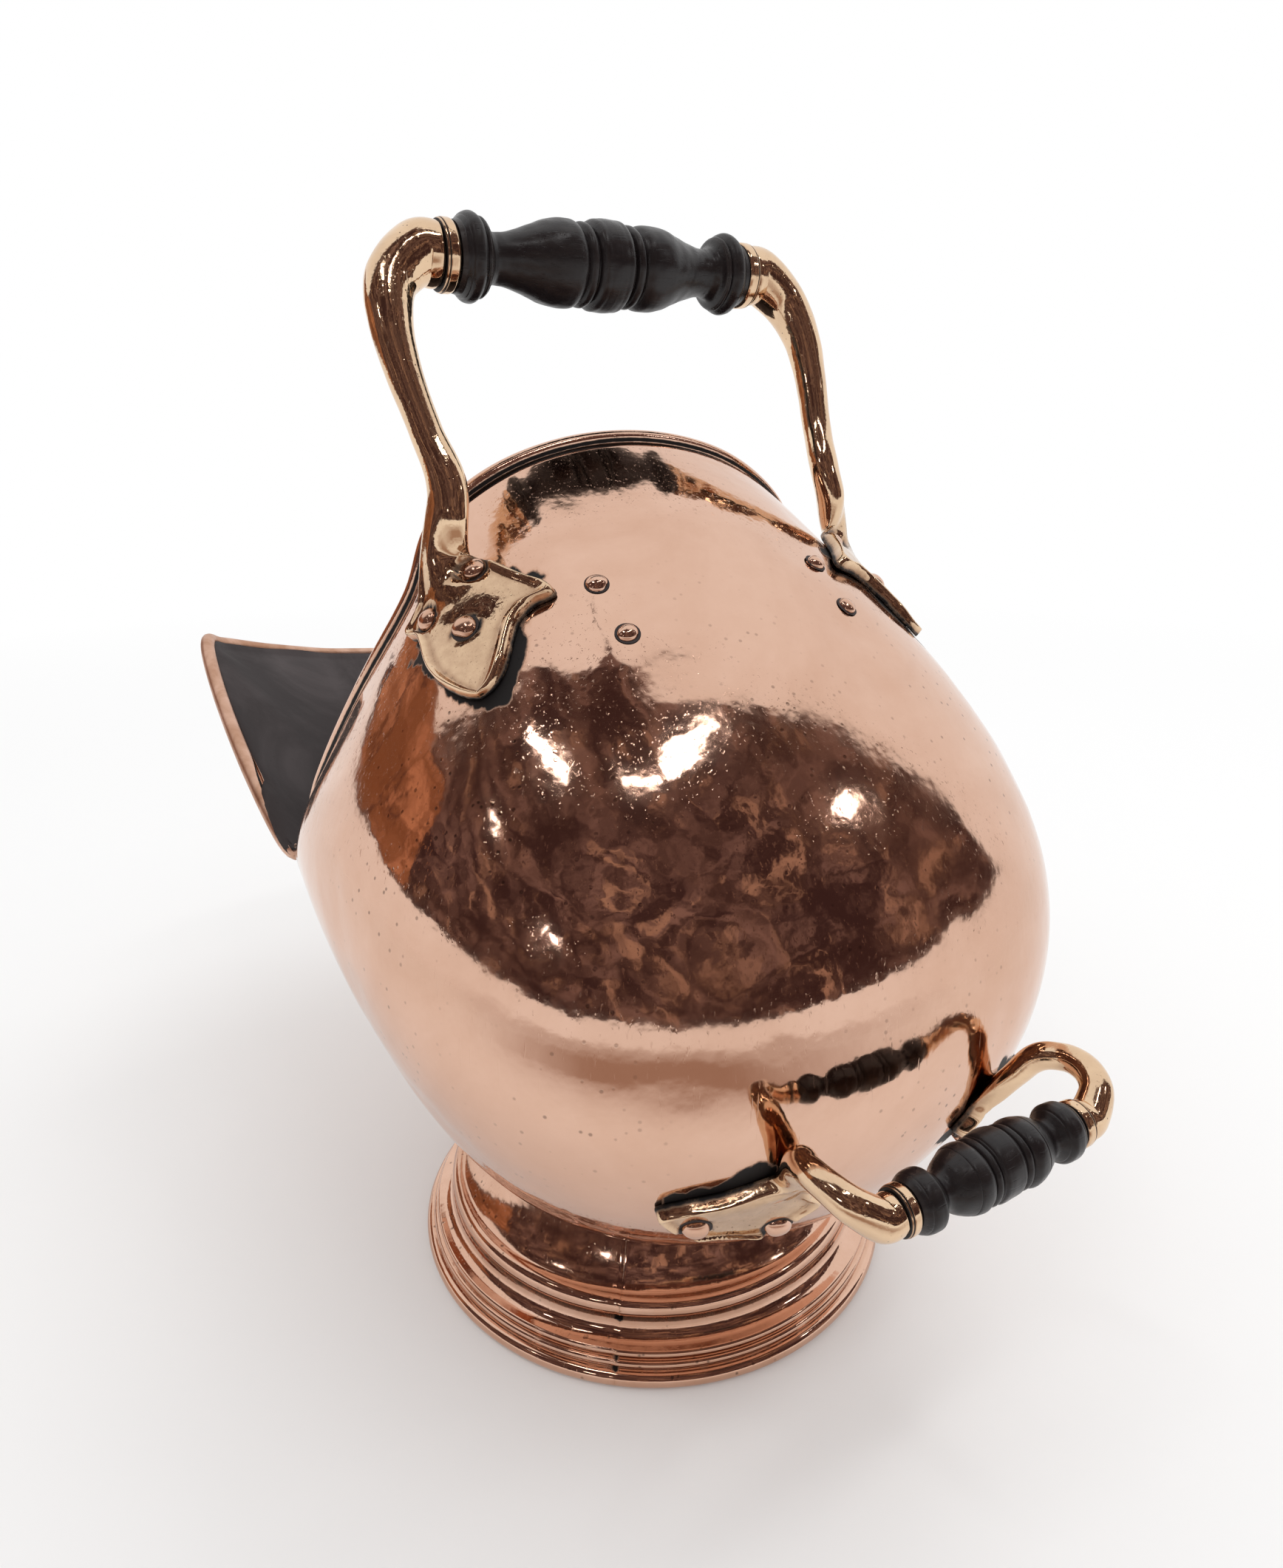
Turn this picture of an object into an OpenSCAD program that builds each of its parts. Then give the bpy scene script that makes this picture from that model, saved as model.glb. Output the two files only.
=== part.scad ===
// Helmet coal scuttle: a raised copper body on a moulded foot, with a riveted
// carrying handle above and a smaller tipping handle at the back.
// +X points to the pouring lip, +Y to the scuttle's left, +Z up.
// The origin is the centre of the foot's underside.

/* [Mouth and lip] */
// Forward reach of the lip's front edge
lip_reach = 282; // [270:1:292]
// Height of the lip's front edge
lip_front_height = 198; // [190:1:206]
// Forward reach of the lip's side crest
crest_reach = 233; // [224:1:240]
// Height of the lip's side crest
crest_height = 225; // [218:1:232]
// Half width of the lip at its crest
crest_half_width = 126; // [118:1:132]
// Outward bow of the lip's side edge
lip_side_bow = 5; // [2:1:8]
// Forward reach of the notch between lip and hood
notch_reach = 80; // [74:1:88]
// Half width at the notch
notch_half_width = 122; // [116:1:128]
// Height of the notch
notch_height = 168; // [160:1:176]

/* [Hood] */
// Height of the hood's front edge at its middle
hood_height = 330; // [322:1:338]
// Forward reach of the hood's front edge at its middle
hood_reach = 21; // [14:1:28]
// Forward reach of the hood's shoulder
shoulder_reach = 27; // [22:1:32]
// Half width of the hood's front edge at its shoulder
shoulder_half_width = 84; // [78:1:88]
// Height of the hood's shoulder
shoulder_height = 277; // [272:1:282]
// Outward bow of the hood's side edge
hood_side_bow = 4; // [1:1:7]

/* [Body fullness] */
// Forward pull of the lower body at the front
low_front_reach = 122; // [116:1:128]
// Height of that pull
low_front_height = 95; // [90:1:100]
// Backward pull of the lower body
low_back_reach = 117; // [112:1:122]
// Height of that pull
low_back_height = 61; // [58:1:66]
// Sideways pull of the lower body
low_side_width = 130; // [125:1:135]
// Height of that pull
low_side_height = 129; // [124:1:134]
// Backward shift of the sideways pull of the lower body
low_side_shift = 48; // [43:1:53]
// How much more of the lower width lies behind the middle
low_back_skew = 8; // [5:1:12]
// Forward pull of the upper body at the front
high_front_reach = 155; // [150:1:160]
// Height of that pull
high_front_height = 167; // [162:1:172]
// Backward pull of the upper body
high_back_reach = 261; // [255:1:266]
// Height of that pull
high_back_height = 180; // [175:1:186]
// Sideways pull of the upper body
high_side_width = 158; // [153:1:163]
// Height of that pull
high_side_height = 196; // [191:1:201]
// Backward shift of the sideways pull of the upper body
high_side_shift = 70; // [65:1:75]
// How much more of the upper width lies before the middle
high_front_skew = 12; // [8:1:16]
// Thickness of the copper sheet
sheet = 1.6; // [1.2:0.1:2]

/* [Rolled rim] */
// Outer radius of the rolled bead round the mouth
bead_r = 3.4; // [3.1:0.1:3.8]
// Radius of the iron wire inside the bead
rim_wire_r = 1.9; // [1.6:0.1:2]

/* [Foot] */
// Outer radius of the foot
foot_r = 100; // [96:1:106]
// Height of the foot
foot_height = 52; // [48:1:56]
// Outer radius of the foot's neck where it meets the body
neck_r = 68; // [66:1:72]
// Outer radius of the foot's upper ring
foot_ring_r = 86; // [84:1:90]
// Height of the foot's upper ring
foot_ring_height = 28; // [26:1:30]
// Thickness of the foot's spun sheet
foot_sheet = 1.5; // [1.2:0.1:1.8]
// Radius of the iron wire rolled into the foot's lower edge
foot_wire_r = 1.6; // [1.3:0.1:1.8]
// Width of the brazed ring that joins foot and body
braze_w = 2.6; // [2:0.1:3]

/* [Carrying handle] */
// How far the carrying grip's axis lies before the hood's edge
top_grip_ahead = 15; // [11:1:19]
// How far the carrying grip's axis lies above the hood
top_grip_rise = 59; // [54:1:66]
// Half length of the carrying grip
top_grip_half = 58; // [55:1:60]
// Radius of the carrying grip's end bulbs
top_bulb_r = 14.6; // [13.8:0.1:15.4]
// Radius of the carrying grip's middle bead
top_bead_r = 15.7; // [14.9:0.1:16.3]
// Radius of the carrying grip's necks
top_neck_r = 8.5; // [7.8:0.1:9.2]
// Radius of the carrying handle's tie rod
top_rod_r = 3; // [2.5:0.1:3.5]
// Radius of the carrying handle's ferrules
top_ferrule_r = 12; // [11.2:0.1:12.6]
// Width of the carrying handle's ferrules
top_ferrule_w = 5; // [4:0.5:6]
// Radius of the carrying handle's arm below its elbow
top_arm_r = 6.4; // [6:0.1:7]
// Length of the carrying handle's plate below its middle
top_plate_tip = 34; // [31:1:36]

/* [Tipping handle] */
// How far the tipping grip's axis lies behind the body's back
rear_grip_standoff = 30.6; // [27.6:0.1:35.6]
// Height of the tipping grip's axis
rear_grip_height = 146; // [143:1:150]
// Half length of the tipping grip
rear_grip_half = 31; // [29:1:32]
// Radius of the tipping grip's end bulbs
rear_bulb_r = 8.4; // [7.9:0.1:9]
// Radius of the tipping grip's barrel
rear_barrel_r = 9.6; // [9:0.1:10.2]
// Radius of the tipping grip's necks
rear_neck_r = 5.2; // [4.9:0.1:5.8]
// Radius of the tipping handle's tie rod
rear_rod_r = 2.2; // [1.9:0.1:2.5]
// Radius of the tipping handle's ferrules
rear_ferrule_r = 7; // [6.6:0.1:7.4]
// Width of the tipping handle's ferrules
rear_ferrule_w = 4; // [3:0.5:4.5]
// Radius of the tipping handle's arm below its elbow
rear_arm_r = 4.2; // [3.9:0.1:4.6]
// Length of the tipping handle's plate to its lobe tips
rear_plate_lobe = 25; // [23:1:27]

/* [Plates and rivets] */
// Thickness of a handle plate at its edge
plate_edge = 2.2; // [1.8:0.1:2.6]
// Thickness of a handle plate at its middle
plate_crown = 3.6; // [3.2:0.1:4.2]
// Radius of a rivet's shank
rivet_r = 2; // [1.6:0.1:2.2]
// Radius of a handle rivet's domed head
rivet_head_r = 4.2; // [3.8:0.1:4.6]
// Height of a rivet's domed head
rivet_head_h = 2.4; // [2:0.1:2.8]
// Radius of a rivet's washer inside the body
rove_r = 5; // [4.6:0.1:5.4]
// Thickness of a rivet's washer
rove_t = 1.2; // [1:0.1:1.5]

/* [Fits] */
// Radial clearance of a grip on its tie rod
spin_gap = 0.25; // [0.2:0.05:0.4]
// End clearance between a grip and its ferrules
end_gap = 0.4; // [0.3:0.05:0.6]
// Clearance between pieces that are fastened together
seat_gap = 0.05; // [0.03:0.01:0.1]
// Clearance between a ferrule and its arm
butt_gap = 0.15; // [0.1:0.05:0.3]

/* [Hidden] */

COPPER = "#c98a68";
BRASS = "#c9a36a";
IRON = "#4a4644";
EBONISED = "#241c1a";

// ---- vectors and splines -------------------------------------------------

function unit(v) = v / norm(v);
function mix(a, b, t) = a + (b - a) * t;
function mirror_y(p) = [p[0], -p[1], p[2]];

// A smooth curve through four neighbouring points, at t of the way from b to c
function smooth_between(a, b, c, d, t) =
    0.5 * (2 * b + (c - a) * t + (2 * a - 5 * b + 4 * c - d) * t * t
           + (3 * b - a - 3 * c + d) * t * t * t);

// A smooth open curve through a list of points or numbers, at place s = 0 to len - 1
function smooth_along(list, s) =
    let (last = len(list) - 1,
         i = min(floor(s), last - 1),
         before = i == 0 ? 2 * list[0] - list[1] : list[i - 1],
         after = i + 2 > last ? 2 * list[last] - list[last - 1] : list[i + 2])
    smooth_between(before, list[i], list[i + 1], after, s - i);

// ---- the mouth's edge ----------------------------------------------------

crest = [crest_reach, crest_half_width, crest_height];
notch = [notch_reach, notch_half_width, notch_height];
shoulder = [shoulder_reach, shoulder_half_width, shoulder_height];

// The lip's front: a quarter of an ellipse in plan, rising to the crest
function lip_front(t) =
    [mix(crest_reach, lip_reach, cos(t)), crest_half_width * sin(t),
     mix(lip_front_height, crest_height, pow(sin(t), 2))];

// A straight edge from a to b that bows outwards in its middle
function bowed(a, b, t, bow) = mix(a, b, t) + [0, bow * sin(180 * t), 0];

// The hood's arch: a quarter of an ellipse in front view
function hood_arch(t) =
    [mix(shoulder_reach, hood_reach, sin(t)), shoulder_half_width * cos(t),
     mix(shoulder_height, hood_height, sin(t))];

// Points along the left half of the edge, from the lip's front to the hood's middle
rim_points = concat(
    [for (t = [0:22.5:67.5]) lip_front(t)],
    [for (t = [0, 1/3, 2/3]) bowed(crest, notch, t, lip_side_bow)],
    [for (t = [0, 1/3, 2/3]) bowed(notch, shoulder, t, hood_side_bow)],
    [for (t = [0:30:90]) hood_arch(t)]);

// The compass angle of the body's meridian that ends at each of those points
rim_angles = [0, 7, 14, 21, 28, 36, 44, 52, 70, 88, 106, 130, 155, 180];

// The place on the list of points that belongs to a meridian's angle from 0 to 180
function rim_place(angle) =
    let (i = max([for (k = [0:len(rim_angles) - 2]) if (rim_angles[k] <= angle) k]))
    i + (angle - rim_angles[i]) / (rim_angles[i + 1] - rim_angles[i]);

mirrored_rim = concat([mirror_y(rim_points[1])], rim_points,
                      [mirror_y(rim_points[len(rim_points) - 2])]);

function left_rim(angle) =
    let (s = rim_place(angle), i = min(floor(s), len(rim_points) - 2))
    smooth_between(mirrored_rim[i], mirrored_rim[i + 1], mirrored_rim[i + 2],
                   mirrored_rim[i + 3], s - i);

// The mouth's edge at any compass angle, 0 at the lip and 90 on the left
function rim(angle) =
    let (a = (angle % 360 + 360) % 360)
    a > 180 ? mirror_y(left_rim(360 - a)) : left_rim(a);

// ---- the body's surface --------------------------------------------------

// A ring of pulls, given its front, back and side places
function pull_ring(angle, front, back, side_shift, width, skew, front_h, back_h, side_h) =
    let (middle = (front - back) / 2, middle_h = (front_h + back_h) / 2)
    [(middle - side_shift) / 2 + (front + back) / 2 * cos(angle)
         + (middle + side_shift) / 2 * cos(2 * angle),
     width * sin(angle) - skew * sin(2 * angle),
     (middle_h + side_h) / 2 + (front_h - back_h) / 2 * cos(angle)
         + (middle_h - side_h) / 2 * cos(2 * angle)];

function low_pull(angle) =
    pull_ring(angle, low_front_reach, low_back_reach, low_side_shift, low_side_width,
              low_back_skew, low_front_height, low_back_height, low_side_height);

function high_pull(angle) =
    pull_ring(angle, high_front_reach, high_back_reach, high_side_shift, high_side_width,
              -high_front_skew, high_front_height, high_back_height, high_side_height);

// A point on the body's outside: the meridian's angle, and 0 at the neck to 1 at the edge
function skin(angle, v) =
    pow(1 - v, 3) * [neck_r * cos(angle), neck_r * sin(angle), foot_height]
    + 3 * v * pow(1 - v, 2) * low_pull(angle)
    + 3 * v * v * (1 - v) * high_pull(angle)
    + pow(v, 3) * rim(angle);

// Slopes of the surface, by small differences
step_angle = 0.5;
step_v = 0.005;
function skin_round(angle, v) =
    (skin(angle + step_angle, v) - skin(angle - step_angle, v)) / (2 * step_angle);
function skin_up(angle, v) =
    let (low = max(v - step_v, 0), high = min(v + step_v, 1))
    (skin(angle, high) - skin(angle, low)) / (high - low);
function skin_normal(angle, v) = unit(cross(skin_round(angle, v), skin_up(angle, v)));

// A point at a height above the outside; a negative height lies in the sheet or inside
function above_skin(angle, v, height) = skin(angle, v) + height * skin_normal(angle, v);

// The frame of the mouth's edge: along it, straight on from the sheet, and outwards
function rim_along(angle) = unit(rim(angle + step_angle) - rim(angle - step_angle));
function rim_rise(angle) =
    let (along = rim_along(angle), up = skin_up(angle, 1)) up - (up * along) * along;
function rim_ahead(angle) = unit(rim_rise(angle));
function rim_out(angle) = cross(rim_along(angle), rim_ahead(angle));

function sheet_middle(angle) = rim(angle) - sheet / 2 * rim_out(angle);

// The columns' angles over the left half, closer together round the notch in the edge
half_angles = [for (span = [[0, 4, 40], [44, 2, 58], [60, 4, 176]])
    each [span[0]:span[1]:span[2]]];
angles = concat(half_angles, [180],
                [for (k = [len(half_angles) - 1:-1:1]) 360 - half_angles[k]]);
columns = len(angles);
body_rows = 20;

// The sheet ends just short of the rolled bead: on the way up each column of points,
// it stops where it first comes near the edge's line
edge_line = [for (a = angles) sheet_middle(a)];
// more clearance round the notch, where the edge turns sharply
function sheet_clear(angle) =
    bead_r + seat_gap + 0.25 + 0.55 * max(0, min(1, 2 - abs(min(angle, 360 - angle) - 46) / 9));
function to_segment(p, a, b) =
    norm(p - mix(a, b, max(0, min(1, (p - a) * (b - a) / ((b - a) * (b - a))))));
function from_edge(c, v) =
    let (end = above_skin(angles[c], v, -sheet / 2))
    min([for (k = [c - 16:c + 15])
        to_segment(end, edge_line[(k + columns) % columns], edge_line[(k + 1 + columns) % columns])]);
function clear_end(c, v, step) =
    from_edge(c, v + step) < sheet_clear(angles[c]) ? v : clear_end(c, v + step, step);
sheet_ends = [for (c = [0:columns - 1]) clear_end(c, clear_end(c, 0.6, 0.01), 0.0008)];

// ---- closed meshes from rings of points ----------------------------------

// Faces that join rings of n points; closed rings are joined last to first,
// and an open run of rings gets a cap at each end
function wrapped_quads(rings, n, closed) =
    [for (i = [0:rings - (closed ? 1 : 2)], j = [0:n - 1])
        let (a = i * n + j, b = i * n + (j + 1) % n,
             c = (i + 1) % rings * n + (j + 1) % n, d = (i + 1) % rings * n + j)
        each [[c, b, a], [d, c, a]]];

module ring_solid(rings, closed = false) {
    n = len(rings[0]);
    caps = closed ? [] :
        [[for (j = [0:n - 1]) j], [for (j = [n - 1:-1:0]) (len(rings) - 1) * n + j]];
    polyhedron([for (r = rings) each r], concat(wrapped_quads(len(rings), n, closed), caps));
}

module body_shell() {
    rows = [for (k = [0:body_rows]) k / body_rows];
    outside = [for (r = rows) [for (c = [0:columns - 1]) skin(angles[c], r * sheet_ends[c])]];
    inside = [for (k = [body_rows:-1:1])
        [for (c = [0:columns - 1]) above_skin(angles[c], rows[k] * sheet_ends[c], -sheet)]];
    floor_ring = [for (a = angles) let (r = neck_r - sheet)
        [r * cos(a), r * sin(a), foot_height + sheet]];
    color(COPPER)
        difference() {
            ring_solid(concat(outside, inside, [floor_ring]));
            all_rivet_holes();
        }
}

// ---- the rolled rim ------------------------------------------------------

function rim_section(angle, r, turns) =
    [for (t = turns)
        sheet_middle(angle) + r * (cos(t) * rim_ahead(angle) + sin(t) * rim_out(angle))];

// A tube along the edge, with a section of straight sides, each of one step
module rim_tube(r, step) {
    ring_solid([for (a = angles) rim_section(a, r, [0:step:359])], true);
}

// The bead is rolled round the wire and lies on the end of the sheet
module rim_bead() {
    color(COPPER)
        difference() {
            rim_tube(bead_r, 36);
            rim_tube(rim_wire_r + seat_gap, 60);
        }
}

module rim_wire() {
    color(IRON) rim_tube(rim_wire_r, 60);
}

// ---- the foot ------------------------------------------------------------

// A bulging moulding between two heights, as points from low to high
function moulding(r, z0, z1, bulge) =
    [for (t = [-90:30:90]) [r + bulge * cos(t), (z0 + z1) / 2 + (z1 - z0) / 2 * sin(t)]];

// The lower edge is rolled round a wire and lies flat on the floor
foot_edge_r = foot_wire_r + foot_sheet;
foot_edge_h = 2 * foot_edge_r;
foot_channel_r = foot_wire_r + seat_gap;
foot_flat_w = 2;
band_h = 3;
band_gap = 0.4;
cove_bottom = foot_edge_h + 2 * (band_h + band_gap);
torus_h = 8.4;
flange_w = 9;
neck_top = foot_height - 3.6;
neck_bend = [mix(foot_ring_r - 3, neck_r - 1, 0.45), mix(foot_ring_height, foot_height, 0.17)];

// A curve from a to c that leaves and comes in along its two lines to b
function bend(a, b, c, t) = pow(1 - t, 2) * a + 2 * t * (1 - t) * b + t * t * c;

function edge_arc(r, turns) =
    [for (t = turns) [foot_r - foot_edge_r + r * cos(t), foot_edge_r + r * sin(t)]];

// The outside of the spun foot above its rolled edge, from low to high
foot_line = concat(
    moulding(foot_r - 4.4, foot_edge_h + band_gap, foot_edge_h + band_gap + band_h, 1.2),
    moulding(foot_r - 6, cove_bottom - band_h, cove_bottom, 1.2),
    [for (t = [22.5:22.5:90])
        [mix(foot_r - 6.4, foot_ring_r + 1, sin(t)),
         mix(cove_bottom, foot_ring_height - torus_h - band_gap, 1 - cos(t))]],
    moulding(foot_ring_r - 2, foot_ring_height - torus_h, foot_ring_height, 4),
    [for (t = [1/6:1/6:1])
        bend([foot_ring_r - 3, foot_ring_height], neck_bend, [neck_r - 1, neck_top], t)],
    [[neck_r - 1, foot_height - seat_gap]]);

// The same line moved inwards by the sheet's thickness
function inset_line(line, t) =
    [for (k = [0:len(line) - 1])
        let (a = line[max(k - 1, 0)], b = line[min(k + 1, len(line) - 1)], d = unit(b - a))
        line[k] + t * [-d[1], d[0]]];

module foot_base() {
    top = foot_height - seat_gap;
    inner_line = inset_line(foot_line, foot_sheet);
    flat_r = foot_r - foot_edge_r - foot_flat_w;
    color(COPPER)
        rotate_extrude($fn = 96)
            polygon(concat([[flat_r, 0]], edge_arc(foot_edge_r, [-90:22.5:90]), foot_line,
                           [[neck_r - flange_w, top], [neck_r - flange_w, top - foot_sheet],
                            [neck_r - 1 - foot_sheet, top - foot_sheet]],
                           [for (k = [len(inner_line) - 2:-1:1]) inner_line[k]],
                           edge_arc(foot_channel_r, [90:-30:-90]),
                           [[flat_r, foot_edge_r - foot_channel_r]]));
}

module foot_wire() {
    color(IRON)
        rotate_extrude($fn = 96)
            translate([foot_r - foot_edge_r, foot_edge_r])
                circle(r = foot_wire_r, $fn = 24);
}

module braze_ring() {
    low = foot_height - 3.4;
    high = foot_height - 0.2;
    inner = neck_r - 1 + seat_gap;
    color(COPPER)
        rotate_extrude($fn = 96)
            polygon([[inner, low], [inner + braze_w * 0.6, low + 0.5],
                     [inner + braze_w, low + 1.9], [inner + braze_w * 0.8, high],
                     [inner, high]]);
}

// ---- handle plates -------------------------------------------------------

// A plate's place: the meridian and height of its middle
TOP_PLATE = [128.7, 0.926];
REAR_PLATE = [156.5, 0.432];

// The surface place reached from a plate's middle by going sideways (towards the
// back) and down along the outside, in millimetres
function plate_place(at, side, down) =
    let (round = skin_round(at[0], at[1]), up = skin_up(at[0], at[1]),
         across = unit(round), below = -cross(skin_normal(at[0], at[1]), across),
         w = side * across + down * below,
         g11 = round * round, g12 = round * up, g22 = up * up, det = g11 * g22 - g12 * g12)
    at + [(w * round * g22 - w * up * g12) / det, (w * up * g11 - w * round * g12) / det];

function on_plate(at, side, down, height) =
    let (p = plate_place(at, side, down)) above_skin(p[0], p[1], height);
function plate_normal(at, side, down) =
    let (p = plate_place(at, side, down)) skin_normal(p[0], p[1]);

// Radius of a plate's outline every 12 degrees from its tip (downwards) to its root:
// a pointed tip, a waist, a side lobe and a shoulder
top_outline = top_plate_tip
    * [1, 0.94, 0.84, 0.75, 0.66, 0.6, 0.59, 0.69, 0.79, 0.66, 0.61, 0.615, 0.66, 0.72,
       0.75, 0.75];
rear_outline = rear_plate_lobe
    * [0.68, 0.7, 0.74, 0.8, 0.84, 0.84, 0.9, 1, 0.8, 0.6, 0.54, 0.54, 0.56, 0.6, 0.64,
       0.64];

function outline_r(outline, angle) =
    let (a = (angle % 360 + 360) % 360, h = a > 180 ? 360 - a : a) smooth_along(outline, h / 12);

// Height of a plate's outer face above the body, at a share of the way to its outline
function plate_height(share) = seat_gap + mix(plate_crown, plate_edge, share * share);

plate_turns = [for (k = [0:47]) k * 7.5];

function plate_ring(at, outline, share, height) =
    [for (t = plate_turns) let (r = share * outline_r(outline, t))
        on_plate(at, r * sin(t), r * cos(t), height)];

module plate(at, outline) {
    ring_solid(concat(
        [for (share = [0.1, 0.4, 0.7, 1]) plate_ring(at, outline, share, seat_gap)],
        [for (share = [1, 0.94, 0.7, 0.4, 0.1])
            plate_ring(at, outline, share, plate_height(share) - (share == 1 ? 0.7 : 0))]));
}

// ---- handle arms ---------------------------------------------------------

// A bar along a smooth path of points, each with its thickness and width as radii.
// The thickness stays in the direction of face.
module arm(points, radii, face) {
    sides = 12;
    per_point = 3;
    places = [for (k = [0:(len(points) - 1) * per_point]) k / per_point];
    ring_solid([for (s = places)
        let (d = 0.01,
             along = unit(smooth_along(points, min(s + d, len(points) - 1))
                          - smooth_along(points, max(s - d, 0))),
             thick = unit(face - (face * along) * along),
             wide = cross(along, thick),
             r = smooth_along(radii, s))
        [for (t = [0:360 / sides:359])
            smooth_along(points, s) + r[0] * cos(t) * thick + r[1] * sin(t) * wide]]);
}

top_arm_start = top_grip_half + end_gap + top_ferrule_w + butt_gap;
rear_arm_start = rear_grip_half + end_gap + rear_ferrule_w + butt_gap;
top_axis = [hood_reach + top_grip_ahead, 0, hood_height + top_grip_rise];
body_back = min([for (k = [0:body_rows]) skin(180, k / body_rows)[0]]);
rear_axis = [body_back - rear_grip_standoff, 0, rear_grip_height];
rod_depth = 9;

// Turns a piece made along Z so that it lies along Y through a place
module along_y(place) {
    translate(place) rotate([-90, 0, 0]) children();
}

// A carrying arm and its plate in one casting. The bends of its path are shares of
// the reach from the elbow to the root on the plate.
module top_arm() {
    root = on_plate(TOP_PLATE, 0, -top_plate_tip / 2, top_arm_r);
    end = on_plate(TOP_PLATE, 0, -top_plate_tip / 9, top_arm_r / 4);
    elbow = top_axis + [0, top_arm_start, 0];
    reach = norm(root - elbow);
    e = top_arm_r;
    difference() {
        union() {
            plate(TOP_PLATE, top_outline);
            arm([elbow, elbow + reach * [0, 0.064, 0], elbow + reach * [-0.032, 0.156, -0.083],
                 elbow + reach * [-0.101, 0.189, -0.203], elbow + reach * [-0.175, 0.184, -0.35],
                 elbow + reach * [-0.258, 0.156, -0.516], elbow + reach * [-0.35, 0.134, -0.681],
                 root, end],
                e * [[1.69, 1.69], [1.6, 1.6], [1.38, 1.38], [1.14, 1.14], [0.95, 0.95],
                     [0.86, 0.86], [0.86, 1.1], [0.72, 1.6], [0.2, 0.9]],
                plate_normal(TOP_PLATE, 0, 0));
        }
        rod_bore(top_axis, top_arm_start, top_rod_r);
        plate_rivet_holes(TOP_PLATE, top_rivets);
        plate_rivet_seats(TOP_PLATE, top_outline, top_rivets);
    }
}

// A tipping arm and its plate in one casting, made in the same way
module rear_arm() {
    k = rear_plate_lobe;
    root = on_plate(REAR_PLATE, 0.36 * k, -0.44 * k, 0.92 * rear_arm_r);
    end = on_plate(REAR_PLATE, 0.08 * k, -0.08 * k, 0.28 * rear_arm_r);
    elbow = rear_axis + [0, rear_arm_start, 0];
    reach = norm(root - elbow);
    e = rear_arm_r;
    difference() {
        union() {
            plate(REAR_PLATE, rear_outline);
            arm([elbow, elbow + reach * [0, 0.11, 0], elbow + reach * [0.083, 0.289, 0.124],
                 elbow + reach * [0.248, 0.372, 0.193], elbow + reach * [0.468, 0.372, 0.179],
                 elbow + reach * [0.688, 0.275, 0.055], root, end],
                e * [[1.45, 1.45], [1.35, 1.35], [1.16, 1.16], [1.04, 1.04], [1, 1],
                     [1, 1.12], [0.76, 1.5], [0.25, 1.4]],
                plate_normal(REAR_PLATE, 0, 0));
        }
        rod_bore(rear_axis, rear_arm_start, rear_rod_r);
        plate_rivet_holes(REAR_PLATE, rear_rivets);
        plate_rivet_seats(REAR_PLATE, rear_outline, rear_rivets);
    }
}

// The blind bore in an arm that takes the tie rod's end
module rod_bore(axis, start, r) {
    along_y(axis + [0, start - 1, 0])
        cylinder(r = r + seat_gap, h = rod_depth + 1 + seat_gap, $fn = 32);
}

module top_arm_left() { color(BRASS) top_arm(); }
module top_arm_right() { color(BRASS) mirror([0, 1, 0]) top_arm(); }
module rear_arm_left() { color(BRASS) rear_arm(); }
module rear_arm_right() { color(BRASS) mirror([0, 1, 0]) rear_arm(); }

// ---- grips, ferrules and tie rods ----------------------------------------

// Half of a turned grip's outline as [distance from the middle, radius]
top_grip_line = concat(
    [for (t = [0:15:90]) [7.2 * sin(t), top_bead_r - 2.3 * (1 - cos(t))]],
    [for (t = [-90:30:90]) [9.4 + 2 * sin(t), top_bead_r - 2.5 + 1.1 * cos(t)]],
    let (keys = [[11.6, top_bulb_r - 1], [17, top_bulb_r + 0.3], [23, top_bulb_r - 0.4],
                 [29, top_bulb_r - 2.8], [35, top_neck_r + 1.5], [41, top_neck_r],
                 [45, top_neck_r + 0.7], [47, top_bulb_r - 2.4], [50, top_bulb_r - 0.3],
                 [53, top_bulb_r], [56, top_bulb_r - 1.6], [top_grip_half, top_bulb_r - 4]])
    [for (s = [0:0.34:11]) smooth_along(keys, s)],
    [[top_grip_half, top_bulb_r - 4]]);

rear_grip_line = concat(
    [for (t = [0:15:90]) [4.4 * sin(t), rear_barrel_r - 0.8 * (1 - cos(t))]],
    [for (t = [-90:30:90]) [5.9 + 1.4 * sin(t), rear_barrel_r - 1 + 0.6 * cos(t)]],
    let (keys = [[7.4, rear_barrel_r - 1], [10.6, rear_barrel_r - 0.1],
                 [14, rear_barrel_r - 1], [17, rear_neck_r + 2], [20, rear_neck_r],
                 [21.8, rear_neck_r + 0.5], [23.4, rear_bulb_r - 1.4], [25.6, rear_bulb_r],
                 [28.4, rear_bulb_r - 0.3], [rear_grip_half, rear_bulb_r - 2]])
    [for (s = [0:0.34:9]) smooth_along(keys, s)],
    [[rear_grip_half, rear_bulb_r - 2]]);

module turned_grip(axis, line, bore_r) {
    last = len(line) - 1;
    outline = concat([for (k = [last:-1:1]) [line[k][1], -line[k][0]]],
                     [for (p = line) [p[1], p[0]]]);
    color(EBONISED)
        along_y(axis)
            rotate_extrude($fn = 64)
                polygon(concat(outline, [[bore_r, line[last][0]], [bore_r, -line[last][0]]]));
}

module top_grip() { turned_grip(top_axis, top_grip_line, top_rod_r + spin_gap); }
module rear_grip() { turned_grip(rear_axis, rear_grip_line, rear_rod_r + spin_gap); }

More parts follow.
